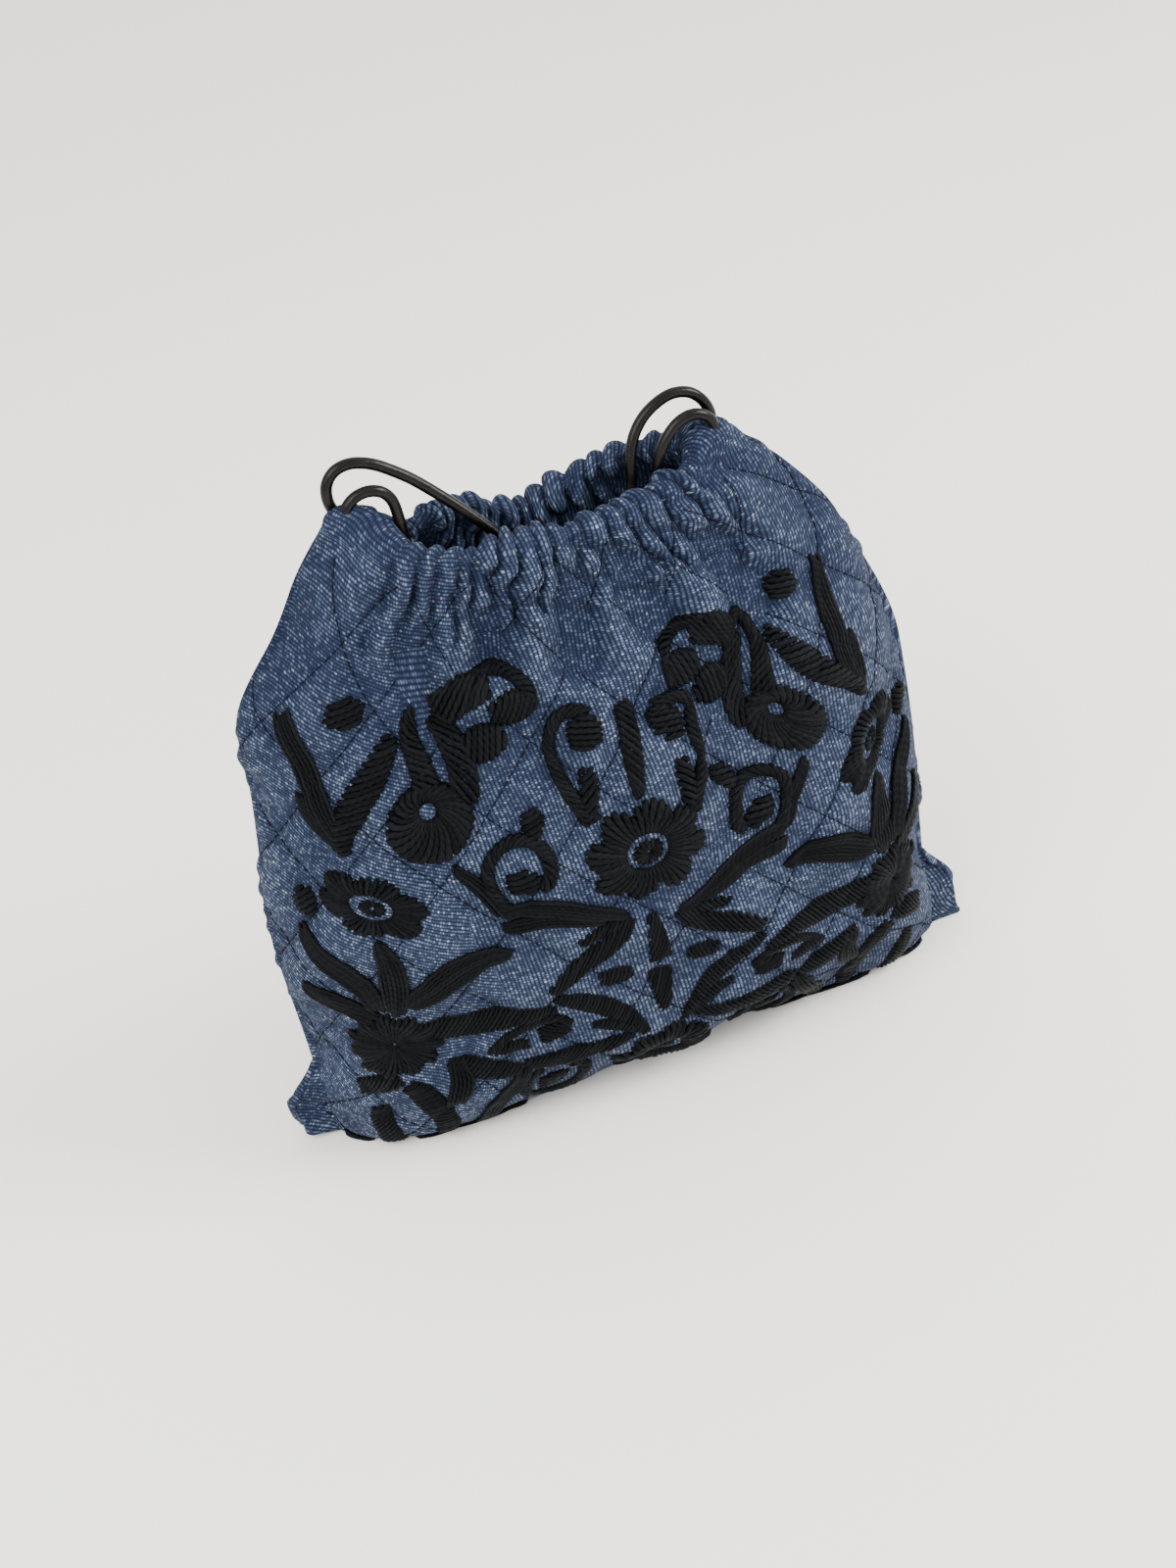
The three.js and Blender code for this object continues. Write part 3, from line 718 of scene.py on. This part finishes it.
def leather_finish():
    material, wire, shader = new_finish("leather", Specular_IOR_Level=0.16)
    place = wire.node("ShaderNodeTexCoord", {}, {}, 3)
    grain = noise(place, 900.0, 3.0)
    colour = noise(place, 160.0, 3.0).step(0.42, 0.72).mix(LEATHER_DARK, LEATHER_RUBBED)
    bump = bumped(grain, 0.35, 0.0002)
    feed(wire, shader, Base_Color=colour, Normal=bump, Roughness=0.16 + 0.2 * grain)
    return material


leather = leather_finish()
cord_routes = {f"drawstring_{panel}": casing_places(panel) for panel in ("front", "back")}
cord_routes.update({f"cord_loop_{side}": loop_places(side) for side in ("left", "right")})
for node, places in cord_routes.items():
    route = smooth_route(places, CORD["step"])
    piece = cord_mesh(f"{node}_leather", route)
    piece.data.materials.append(leather)
    bpy.context.collection.objects.link(piece)
    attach(piece, "root")
    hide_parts(node)
    length = run_along(route)[-1]

# Quilting thread
# Black machine stitches run along both families of quilting lines, sunk in the grooves. Each stitch is a
# short round bar of thread.
STITCH = {"length": 3.0, "gap": 0.4, "radius": 0.22, "sink": 0.12}
STITCHED = {"low": 20.0, "high": 225.5, "shortest": 6, "ear_up": 45.0, "ear_clear": 12.0, "clear": 2.0}
THREAD_DARK = (0.002, 0.0025, 0.004, 1)
THREAD_PALE = (0.007, 0.008, 0.012, 1)


def on_cloth(panel, x, up, lift):
    """Points over the outside of a panel, at flat places and a height above the cloth."""
    outer = surfaces[panel][:len(OUTER_UPS)]
    row = np.clip(np.interp(up, OUTER_UPS, np.arange(len(OUTER_UPS))), 0, len(OUTER_UPS) - 1.001)
    column = np.clip((np.asarray(x) / HALF_WIDTH + 1) / 2, 0, 0.99999) * (len(ACROSS) - 1)
    r, c = row.astype(int), column.astype(int)
    v, u = (row - r)[..., None], (column - c)[..., None]
    a, b, d, e = outer[r, c], outer[r, c + 1], outer[r + 1, c], outer[r + 1, c + 1]
    place = (1 - v) * ((1 - u) * a + u * b) + v * ((1 - u) * d + u * e)
    normal = unit(np.cross(b - a + e - d, d - a + e - b)) * (1 if panel == "front" else -1)
    return place + normal * np.asarray(lift)[..., None]


def line_object(name, strands, **attributes):
    """Mesh of loose polylines, with values along them as attributes."""
    edges = []
    start = 0
    for strand in strands:
        edges += [(k, k + 1) for k in range(start, start + len(strand) - 1)]
        start += len(strand)
    mesh = bpy.data.meshes.new(name)
    mesh.from_pydata((np.concatenate(strands) * MM).tolist(), edges, [])
    for key, values in attributes.items():
        mesh.attributes.new(key, "FLOAT", "POINT").data.foreach_set("value", np.concatenate(values))
    piece = bpy.data.objects.new(name, mesh)
    bpy.context.collection.objects.link(piece)
    return piece


def made_along(piece, name, sizes, material, build):
    """Runs a geometry tree along a piece's lines, and leaves the result as the piece's plain mesh."""
    tree = bpy.data.node_groups.new(name, "GeometryNodeTree")
    values = {**sizes, "Material": material}
    kinds = {float: "NodeSocketFloat", int: "NodeSocketInt"}
    tree.interface.new_socket("Lines", in_out="INPUT", socket_type="NodeSocketGeometry")
    for key, value in values.items():
        kind = kinds.get(type(value), "NodeSocketMaterial")
        tree.interface.new_socket(key, in_out="INPUT", socket_type=kind)
    tree.interface.new_socket("Pieces", in_out="OUTPUT", socket_type="NodeSocketGeometry")
    source = tree.nodes.new("NodeGroupInput")
    given = {socket.name: Wire(tree, socket) for socket in source.outputs if socket.name}
    lines = given["Lines"]
    made = build(lines.node("GeometryNodeMeshToCurve", {}, {"Mesh": lines}), given)
    soft = made.node("GeometryNodeSetShadeSmooth", {}, {"Geometry": made})
    real = soft.node("GeometryNodeRealizeInstances", {}, {"Geometry": soft})
    result = real.node("GeometryNodeSetMaterial", {}, {"Geometry": real, "Material": given["Material"]})
    tree.links.new(result.socket, tree.nodes.new("NodeGroupOutput").inputs[0])
    modifier = piece.modifiers.new("make", "NODES")
    modifier.node_group = tree
    for item in tree.interface.items_tree:
        if item.name in values:
            modifier[item.identifier] = values[item.name]
    evaluated = piece.evaluated_get(bpy.context.evaluated_depsgraph_get())
    mesh = bpy.data.meshes.new_from_object(evaluated)
    old_mesh = piece.data
    piece.modifiers.remove(modifier)
    piece.data = mesh
    bpy.data.meshes.remove(old_mesh)
    mesh.name = piece.name


def stitch_bars(curve, given):
    """A short round bar for every stitch along the lines."""
    sown = {"Curve": curve, "Length": given["Pitch"]}
    points = curve.node("GeometryNodeCurveToPoints", {"mode": "LENGTH"}, sown)
    tangent = Wire(curve.tree, points.socket.node.outputs["Tangent"])
    turn = curve.node("FunctionNodeAlignRotationToVector", {"axis": "Z"}, {"Vector": tangent})
    bar = curve.node("GeometryNodeMeshUVSphere", {}, {"Segments": 6, "Rings": 5, "Radius": 1.0})
    sizes = {0: given["Radius"], 1: given["Radius"], 2: given["Length"]}
    size = curve.node("ShaderNodeCombineXYZ", {}, sizes)
    sewn = {"Points": points, "Instance": bar, "Rotation": turn, "Scale": size}
    return curve.node("GeometryNodeInstanceOnPoints", {}, sewn)


def quilting_routes():
    """Flat routes of all the quilting lines, clipped to the panel between its base and its rim."""
    up = np.arange(STITCHED["low"], STITCHED["high"], 1.0)
    clear = np.where(up < STITCHED["ear_up"], STITCHED["ear_clear"], STITCHED["clear"])
    rise = (up - QUILT["up"]) / QUILT["tall"]
    routes = []
    for lean in (1, -1):
        for count in range(-9, 10):
            x = QUILT["x"] + QUILT["wide"] * (count - lean * rise)
            inside = np.abs(x) < HALF_WIDTH - clear
            if inside.sum() > STITCHED["shortest"]:
                routes.append(np.stack([x[inside], up[inside]], axis=1))
    return routes


def thread_finish():
    material, wire, shader = new_finish("quilting_thread", Roughness=0.8, Specular_IOR_Level=0.05)
    place = wire.node("ShaderNodeTexCoord", {}, {}, 3)
    fuzz = noise(place, 1200.0, 2.0)
    feed(wire, shader, Base_Color=fuzz.step(0.3, 0.8).mix(THREAD_DARK, THREAD_PALE))
    return material


thread = thread_finish()
stitch_sizes = {
    "Pitch": (STITCH["length"] + STITCH["gap"]) * MM,
    "Length": STITCH["length"] / 2 * MM,
    "Radius": STITCH["radius"] * MM,
}
seams = {}
for panel in ("front", "back"):
    rows = [on_cloth(panel, *route.T, np.full(len(route), STITCH["sink"])) for route in quilting_routes()]
    seams[panel] = line_object(f"{panel}_quilting", rows)
    made_along(seams[panel], "stitches", stitch_sizes, thread, stitch_bars)
    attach(seams[panel], "root")

# Embroidery
# Thick black yarn laid side by side on the front in traditional leaves, flowers and scrolls, the same
# on both sides of the middle. Strands fill leaves side by side, wind along scrolls and stems like rope,
# and run out from the hearts of flowers.
YARN = {"pitch": 1.8, "close": 1.2, "close_below": 116.0, "fine": 1.3, "radius": 1.02, "sides": 6,
        "step": 1.6, "lift": 0.7, "uneven": 0.12, "sink": 0.6, "sinks_in": 1.5, "pad": 0.7, "pad_in": 3.5}
YARN_DARK = (0.0008, 0.0010, 0.0014, 1)
YARN_PALE = (0.0048, 0.0055, 0.0070, 1)
YARN_SEED = 31
draw = np.random.default_rng(YARN_SEED)

# Leaves and dots have parallel strands. A row gives a path along the leaf, on the left half of the front,
# the width at its start, middle and end, and the strands' direction.
LEAVES = {
    "broad leaf": ([(-69.5, 182), (-75, 172), (-81, 162.5), (-85, 154), (-85, 147)], (5, 10.4, 4), 12),
    "scroll block": ([(-54, 185), (-48, 190.5), (-42, 192), (-37, 192.5)], (8, 11, 7), 62),
    "hook drop": ([(-10.5, 159), (-10.4, 154.5), (-12, 147.5), (-12, 141)], (3.6, 6, 3), 40),
    "small leaf": ([(-23.5, 101), (-17, 102.6), (-9, 103)], (3, 5, 3), 50),
    "chevron": ([(-6.5, 104), (-13.5, 97.5), (-23.5, 92.5), (-34.5, 85.5)], (4, 8, 4), 58),
    "low chevron": ([(-34, 83), (-25.5, 78), (-17.5, 72), (-11.5, 63), (-8.5, 57)], (4, 7.6, 3), 58),
    "low small leaf": ([(-24.5, 68), (-18, 65.5), (-11, 59.5)], (3, 5, 3), 50),
    "palm leaf 5": ([(-76, 78.6), (-60, 79.2), (-48, 79.6), (-34, 78)], (7.5, 9.4, 3), 52),
    "low palm leaf 1": ([(-70, 63), (-62, 61), (-55, 58.5), (-47.5, 57)], (6, 9.6, 4), 50),
    "low palm leaf 3": ([(-83, 58), (-77, 52), (-71, 45), (-68, 36), (-70, 27)], (6, 8, 6), 22),
    "low palm leaf 4": ([(-88.5, 47), (-86, 38), (-85.5, 25)], (5, 7.6, 7), 50),
    "low sprig": ([(-47, 57.5), (-33, 56), (-22, 57), (-12.5, 58.6)], (5, 8, 3), 45),
    "top dot": ([(-92, 191.6), (-86, 191.3), (-80, 190.8)], (5, 8.6, 5), 14),
    "side dot": ([(-102, 134.6), (-101, 130), (-99.6, 125.6)], (5, 8, 5), 30),
    "scroll fan": ([(-37, 183), (-29.5, 183.6), (-22, 185)], (6.5, 11.2, 6), 70),
    "inner fan": ([(-47, 174), (-40, 174.6), (-33.2, 175)], (8, 12, 7), 82),
    "hook fan": ([(-13.5, 170), (-8.5, 169.6), (-3, 169)], (6.5, 10.4, 6), -14),
    "knob": ([(-29.4, 150), (-29, 146.5), (-30.8, 141.5)], (4.4, 6.8, 3), 20),
    "curl heart": ([(-40.2, 128.4), (-36, 128.6), (-31, 126)], (5, 7.8, 5), 6),
    "small oval": ([(-19.6, 84), (-14.5, 84), (-9.4, 83.8)], (4, 7.2, 4), 66),
    "low palm oval": ([(-98.5, 55.6), (-92, 58.5), (-84.5, 62)], (6, 9, 6), 60),
    "small scroll end": ([(-56, 67), (-50, 67.8), (-44, 67)], (3.6, 5.8, 3.6), 60),
    "small scroll curl": ([(-41, 69), (-36, 69.4), (-31, 69.8)], (5, 8.6, 5), -30),
    "low curl heart": ([(-41, 43.6), (-37, 44), (-32.5, 46.6)], (5.4, 8.8, 5), 6),
}
# Leaves on the middle line, which leans with the cloth.
MIDDLE_LEAVES = {
    "drop": ([(0, 102.4), (0, 94), (0.2, 88), (0.3, 83.4)], (3, 6, 7), 68),
    "low drop": ([(-0.8, 80.6), (-1.1, 72), (-1.6, 62.8)], (7.4, 6.4, 2.4), 68),
}
# Blades have fine strands that run along the leaf, from end to end.
BLADES = {
    "long leaf": ([(-104.6, 194.5), (-100.4, 185.2), (-96.4, 175.8), (-93.5, 167), (-89, 157),
                   (-85.2, 147)], (4.4, 7.6, 4.6)),
    "low edge leaf": ([(-80, 25), (-68, 22.5), (-55, 22.5), (-44, 26)], (3, 5, 3)),
    "low corner leaf": ([(-103, 25), (-98, 22.5), (-92, 22)], (2.5, 4, 2.5)),
    "outer leaf": ([(-99.8, 168.5), (-97, 163), (-93, 157.5), (-88, 151)], (1.6, 4.6, 3)),
    "curl leaf": ([(-54.5, 138.4), (-50, 133.4), (-46, 126.5), (-42.4, 117.5)], (3, 5.6, 5)),
    "upper sprig": ([(-44, 119.6), (-36, 119), (-28, 116.2), (-17, 110), (-6.5, 104.2)],
                     (4.4, 6.8, 2.6)),
    "lower sprig": ([(-44.5, 113.6), (-33, 113.2), (-24, 110.4), (-13, 105.6)], (5, 5, 2.4)),
    "palm leaf 1": ([(-106, 101), (-98.5, 95.2), (-92, 90), (-86.5, 84)], (2.6, 7.2, 6)),
    "palm leaf 2": ([(-103.4, 122.4), (-97, 113), (-91, 105), (-87, 97), (-85.5, 88)], (2.4, 8.8, 4.6)),
    "palm leaf 3": ([(-79.8, 117), (-77.5, 107), (-78.5, 98), (-81, 86.5)], (2.4, 9.4, 4)),
    "palm leaf 4": ([(-42, 103.4), (-52, 104), (-60, 101.8), (-68, 97), (-77.5, 91)], (1.8, 11, 3.6)),
    "low palm leaf 2": ([(-66.5, 66), (-66, 56), (-66.4, 44)], (5, 8, 5)),
    "low curl leaf": ([(-46, 57), (-49, 48), (-53, 40), (-60, 27)], (5, 7, 4.4)),
}
# Ropes wind along their path. The last number turns the strands from straight across.
ROPES = {
    "scroll leg": ([(-54.5, 188.6), (-58, 190.6), (-61.6, 190.4), (-63.8, 187), (-63.9, 181),
                    (-61.8, 175), (-59.6, 169), (-58.6, 162.5)], (3.6, 6, 9), 56),
    "scroll band": ([(-57, 187.4), (-53, 182.5), (-50, 177), (-48, 171), (-47, 164.5), (-47.6, 156)],
                     (7, 8.4, 8.4), 64),
    "scroll top": ([(-43, 195.4), (-37, 196.2), (-31.5, 195), (-27, 192.2), (-24.4, 188), (-24.6, 182)],
                    (4.4, 4.6, 6), 48),
    "hook": ([(-11.5, 140.6), (-14, 146), (-16.2, 151), (-18, 156.5), (-19.3, 162), (-19.6, 168),
              (-18.2, 173.4), (-14.6, 176.8), (-10, 177), (-6, 174.2)], (6, 4, 5), 58),
    "curl": ([(-31.4, 124.2), (-27.8, 127), (-26.8, 131.6), (-27.8, 136.6), (-31, 140.6), (-36, 142),
              (-41, 140.4), (-44.4, 136), (-45, 130.5), (-43.6, 125), (-41, 119.5)], (5, 4.4, 4), 56),
    "small scroll": ([(-56.2, 65.6), (-52, 70.6), (-46, 74), (-39.5, 75.4), (-34, 74.4), (-30.4, 70)],
                      (3.6, 3.6, 4), 56),
    "low curl": ([(-31.5, 51.5), (-27.6, 48), (-26.8, 42.6), (-28.6, 37.6), (-33, 34.6), (-38, 34.4),
                  (-42.4, 37), (-44.6, 42), (-44, 48), (-41, 53)], (5, 4.4, 4), 56),
}
MIDDLE_ROPES = {
    "stem": ([(5.6, 175.4), (5.2, 166), (4, 156), (3, 144.6)], (6.4, 6.4, 2.8), 58),
}
# Flowers have strands from their hearts out to the petals. A row gives the middle, the half sizes, the
# share of them that stays bare, the heart's place from the middle, the petals, the tilt of the whole
# flower, how far its strands swirl and how many there are.
FLOWERS = {
    "scroll bowl": ((-58.7, 153.4), (12.4, 12.2), 0.2, (-0.3, 5.4), 0, 0, 50, 27),
    "side flower": ((-79.8, 129), (17.6, 10.2), 0.37, (0, 0), 6, -28, 10, 44),
    "side heart": ((-79.4, 129), (4, 2.8), 0.1, (0, 0), 0, -28, 0, 13),
    "palm": ((-84, 74.4), (15, 13), 0.02, (0, 0), 11, 10, 10, 44),
}
MIDDLE_FLOWERS = {
    "daisy": ((1.9, 126.4), (18.6, 17.4), 0.35, (0.3, -0.3), 8, 8, 8, 46),
    "daisy heart": ((2.2, 126), (4.6, 4.4), 0.1, (0, 0), 0, 0, 0, 14),
    "low daisy": ((-3.2, 43), (16, 13.4), 0.38, (0, 0), 8, 8, 8, 44),
    "low daisy heart": ((-3.2, 43), (4, 3.4), 0.1, (0, 0), 0, 0, 0, 14),
}
PETAL_NOTCH = 0.27
PATH_STEP = 0.5
ROPE = {"pitch": 0.58, "width": 0.92, "past_end": 0.85}


# How the cloth of the right half lies on the filled bag: it leans with height, is drawn towards the
# middle at the hooks and the shoulder, and drops beside the middle.
SLIP = {"level": 84.0, "start": -0.5, "lean": 0.0615, "hook": 6.5, "shoulder": 5.0}
DROP = {"depth": 13.2, "reach": 14.0, "low_share": 0.3, "side_share": 0.2}


def right_half(places):
    """The right half mirrors the left, and its cloth has slipped a little."""
    x, up = -places[..., 0], places[..., 1]
    slipped = SLIP["start"] + SLIP["lean"] * (up - SLIP["level"])
    slipped = slipped - SLIP["hook"] * smooth(up, 132, 165) * smooth(x, 17, 25)
    slipped = slipped - SLIP["shoulder"] * smooth(up, 125, 185) * smooth(x, 30, 95)
    out = x / DROP["reach"]
    dropped = -DROP["depth"] * out / (1 + out ** 2)
    dropped = dropped * (DROP["low_share"] + (1 - DROP["low_share"]) * smooth(up, 80, 118))
    dropped = dropped * (1 - (1 - DROP["side_share"]) * smooth(x, 66, 86))
    return np.stack([x + 2 * slipped, up + dropped], axis=-1)


def rotated(x, y, degrees):
    """Places turned about the origin."""
    cosine, sine = math.cos(math.radians(degrees)), math.sin(math.radians(degrees))
    return np.stack([x * cosine - y * sine, x * sine + y * cosine], axis=-1)


def band_edges(path, width):
    """A band along a path: its places, its sideways directions and its widths."""
    route = smooth_route(path, PATH_STEP)
    run = np.linspace(0, 1, len(route))
    forward = unit(np.gradient(route, axis=0))
    side = np.stack([-forward[:, 1], forward[:, 0]], axis=1)
    start, middle, end = width
    wide = start * (1 - run) * (1 - 2 * run) + 4 * middle * run * (1 - run) + end * run * (2 * run - 1)
    return route, side, wide


def strand_pitch(path):
    """Distance between strands. The lower motifs are filled more closely."""
    return YARN["pitch"] if path[0][1] > YARN["close_below"] else YARN["close"]


def leaf_strands(path, width, lay):
    """Parallel strands side by side that fill a leaf."""
    route, side, wide = band_edges(path, width)
    left = route + side * wide[:, None] / 2
    right = route - side * wide[:, None] / 2
    along, over = rotated(*np.concatenate([left, right[::-1]]).T, -lay).T
    span = over.max() - over.min()
    count = max(2, round(span / strand_pitch(path)))
    after = np.roll(over, -1)
    strands = []
    for level in over.min() + (np.arange(count) + 0.5) / count * span:
        crossing = np.nonzero((over > level) != (after > level))[0]
        share = (level - over[crossing]) / (after[crossing] - over[crossing])
        places = np.sort(along[crossing] + share * (np.roll(along, -1)[crossing] - along[crossing]))
        for low, high in zip(places[::2], places[1::2]):
            ends = np.array([low, high]) + draw.uniform(-0.2, 0.2, 2)
            if ends[1] - ends[0] > 1.0:
                strands.append(rotated(ends, level, lay))
    return strands


def blade_strands(path, width):
    """Fine strands along a leaf that come together at its ends."""
    route, side, wide = band_edges(path, width)
    count = max(3, round(wide.max() / YARN["fine"]))
    run = np.linspace(-1, 1, len(route))
    strands = []
    for share in (np.arange(count) + 0.5) / count * 2 - 1:
        offset = np.clip(share + 0.16 * run, -1, 1) * np.maximum(wide / 2 - 0.3, 0.2)
        first, last = draw.integers(0, 4, 2)
        strand = route + side * offset[:, None]
        strands.append(strand[first:len(strand) - last])
    return strands


def rope_strands(path, width, slant):
    """Strands that wind across a band from edge to edge, as in stem stitch."""
    route, side, wide = band_edges(path, width)
    last = len(route) - 1
    length = PATH_STEP * last
    lean = math.radians(slant)
    reach = wide.mean() / 2 * math.tan(lean) / length
    count = max(3, round(length * math.cos(lean) / (ROPE["pitch"] * strand_pitch(path))))
    past = ROPE["past_end"] * reach
    strands = []
    share = np.linspace(-1, 1, 13)
    for t in np.linspace(-past, 1 + past, count):
        place = t + reach * share
        kept = (place >= 0) & (place <= 1)
        if kept.sum() < 4:
            continue
        k = np.round(place[kept] * last).astype(int)
        inset = np.maximum(wide[k] / 2 - 0.5 * YARN["radius"], 0.3)
        strands.append(route[k] + side[k] * (inset * np.sin(share[kept] * math.pi / 2))[:, None])
    return strands


def flower_strands(at, size, ring, hub, petals, tilt, swirl, count):
    """Strands from a flower's heart out to the edge of its petals. swirl bends them sideways."""
    strands = []
    for angle in 2 * np.pi * (np.arange(count) + 0.5) / count:
        notch = PETAL_NOTCH * (1 - abs(math.sin(angle * petals / 2)) ** 0.7) if petals else 0.0
        reach = np.linspace(ring, (1 - notch) * (1 + draw.uniform(-0.02, 0.02)), 6)
        bent = angle + math.radians(swirl) * (1 - reach)
        x = size[0] * reach * np.cos(bent) + hub[0] * (1 - reach)
        y = size[1] * reach * np.sin(bent) + hub[1] * (1 - reach)
        strands.append(at + rotated(x, y, tilt))
    return strands


def sewn_strands(leaves, blades, ropes, flowers):
    """Flat strands of some motifs, each with its width at both ends."""
    sewn = []
    for path, width, lay in leaves.values():
        wide = strand_pitch(path) / YARN["pitch"]
        sewn += [(strand, (wide, wide)) for strand in leaf_strands(path, width, lay)]
    for path, width in blades.values():
        wide = YARN["fine"] / YARN["pitch"]
        sewn += [(strand, (wide, wide)) for strand in blade_strands(path, width)]
    for path, width, slant in ropes.values():
        wide = ROPE["width"] * strand_pitch(path) / YARN["pitch"]
        sewn += [(strand, (wide, wide)) for strand in rope_strands(path, width, slant)]
    for flower in flowers.values():
        _, size, ring, *_, count = flower
        wide = math.pi * sum(size) / count / YARN["pitch"]
        sewn += [(strand, (wide * max(0.3, ring + 0.12), wide)) for strand in flower_strands(*flower)]
    return sewn


def yarn_finish():
    material, wire, shader = new_finish("embroidery_yarn", Specular_IOR_Level=0.05)
    run, turn, tone = (surface_value(wire, name) for name in ("run", "turn", "tone"))
    fuzz = noise(wire.node("ShaderNodeTexCoord", {}, {}, 3), 1500.0, 2.0)
    plies = wire.sum("SINE", (run * (1 / 2.4) + turn * 2.0) * (2 * math.pi)) * 0.5 + 0.5
    shade = tone * 0.5 + plies * 0.3 + fuzz * 0.4
    colour = shade.step(0.15, 1.1).mix(YARN_DARK, YARN_PALE)
    bump = bumped(plies * 0.8 + fuzz * 0.4, 0.7, 0.0003)
    feed(wire, shader, Base_Color=colour, Normal=bump, Roughness=0.4 + 0.25 * fuzz)
    return material


def yarn_tubes(curve, given):
    """Round yarn along every strand, scaled by its taper, with the place round it kept for the plies."""
    sizes = {"Resolution": given["Sides"], "Radius": given["Radius"]}
    circle = curve.node("GeometryNodeCurvePrimitiveCircle", {}, sizes)
    factor = curve.node("GeometryNodeSplineParameter", {}, {})
    stored = {"Geometry": circle, "Name": "turn", "Value": factor}
    profile = curve.node("GeometryNodeStoreNamedAttribute", {"data_type": "FLOAT"}, stored)
    taper = curve.node("GeometryNodeInputNamedAttribute", {"data_type": "FLOAT"}, {"Name": "taper"})
    swept = {"Curve": curve, "Profile Curve": profile, "Scale": taper, "Fill Caps": True}
    return curve.node("GeometryNodeCurveToMesh", {}, swept)


left_strands = sewn_strands(LEAVES, BLADES, ROPES, FLOWERS)
middle_strands = sewn_strands(MIDDLE_LEAVES, {}, MIDDLE_ROPES, MIDDLE_FLOWERS)
laid = left_strands + middle_strands + [(right_half(strand), widths) for strand, widths in left_strands]
lines = {"places": [], "run": [], "tone": [], "taper": []}
for strand, widths in laid:
    covered = run_along(strand)
    length = covered[-1]
    run = np.linspace(0, length, max(5, round(length / YARN["step"]) + 3))
    x, up = (np.interp(run, covered, strand[:, axis]) for axis in (0, 1))
    from_end = np.minimum(run, length - run)
    swell = np.minimum(1, from_end / YARN["sinks_in"]) ** 0.6
    bulk = np.mean(widths)
    pad = YARN["pad"] * bulk ** 2 * np.minimum(1, from_end / YARN["pad_in"])
    height = bulk * (YARN["lift"] + draw.uniform(-YARN["uneven"], YARN["uneven"]))
    lift = swell * (height + YARN["sink"]) + pad - YARN["sink"]
    lines["places"].append(on_cloth("front", x, up, lift))
    lines["run"].append(run)
    lines["tone"].append(np.full(len(run), draw.uniform(0, 1)))
    lines["taper"].append((0.8 + 0.2 * swell) * (widths[0] + (widths[1] - widths[0]) * run / length))
embroidery = line_object("front_embroidery", lines.pop("places"), **lines)
yarn_sizes = {"Radius": YARN["radius"] * MM, "Sides": YARN["sides"]}
made_along(embroidery, "yarn", yarn_sizes, yarn_finish(), yarn_tubes)
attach(embroidery, "root")

# Floor, light and camera
# The bag stands on a plain pale floor under soft studio light, seen from above and from its left.
FLOOR_COLOUR = (0.92, 0.902, 0.85, 1)
FLOOR_HALF = 12.0
SKY_STRENGTH = 1.9
LAMPS_AIM = (0, 0, 0.1)
floor_mesh = bpy.data.meshes.new("floor")
floor_corners = [(x * FLOOR_HALF, y * FLOOR_HALF, 0) for x, y in ((-1, -1), (1, -1), (1, 1), (-1, 1))]
floor_mesh.from_pydata(floor_corners, [], [(0, 1, 2, 3)])
floor = bpy.data.objects.new("floor", floor_mesh)
floor_mesh.materials.append(new_finish("floor", Base_Color=FLOOR_COLOUR, Roughness=0.9)[0])
bpy.context.collection.objects.link(floor)

world = bpy.data.worlds.new("studio")
world.use_nodes = True
sky = world.node_tree.nodes["Background"].inputs
sky["Color"].default_value = (1, 1, 1, 1)
sky["Strength"].default_value = SKY_STRENGTH
bpy.context.scene.world = world

LAMPS = [
    {"name": "key", "at": (1.2, -0.5, 1.0), "size": 0.7, "power": 30.0},
    {"name": "fill", "at": (-0.9, -0.7, 1.1), "size": 1.0, "power": 22.0},
]
for lamp in LAMPS:
    light = bpy.data.lights.new(lamp["name"], "AREA")
    light.size = lamp["size"]
    light.energy = lamp["power"]
    holder = bpy.data.objects.new(lamp["name"], light)
    holder.location = lamp["at"]
    away = np.array(lamp["at"]) - LAMPS_AIM
    holder.rotation_euler = (math.atan2(math.hypot(away[0], away[1]), away[2]), 0,
                             math.atan2(away[0], -away[1]))
    bpy.context.collection.objects.link(holder)

VIEW = {"azimuth": -14.6, "elevation": 33.5, "roll": 10.0, "distance": 0.7}
LENS = {"focal_pixels": 2230.0, "aim": (0.0, 0.0, 0.105), "aim_pixel": (609.0, 784.5)}
FRAME_PIXELS = (1200, 1600)
SENSOR = 36.0
azimuth, elevation, roll = (math.radians(VIEW[key]) for key in ("azimuth", "elevation", "roll"))
turns = [(azimuth, "Z"), (math.pi / 2 - elevation, "X"), (-roll, "Z")]
pose = Matrix.Translation(LENS["aim"])
for angle, axis in turns:
    pose = pose @ Matrix.Rotation(angle, 4, axis)
camera_data = bpy.data.cameras.new("camera")
camera_data.sensor_fit = "VERTICAL"
camera_data.sensor_height = SENSOR
camera_data.lens = SENSOR * LENS["focal_pixels"] / FRAME_PIXELS[1]
camera_data.shift_x = (FRAME_PIXELS[0] / 2 - LENS["aim_pixel"][0]) / FRAME_PIXELS[1]
camera_data.shift_y = (LENS["aim_pixel"][1] - FRAME_PIXELS[1] / 2) / FRAME_PIXELS[1]
camera_data.clip_start = 0.01
camera = bpy.data.objects.new("camera", camera_data)
camera.matrix_world = pose @ Matrix.Translation((0, 0, VIEW["distance"]))
bpy.context.collection.objects.link(camera)
bpy.context.scene.camera = camera
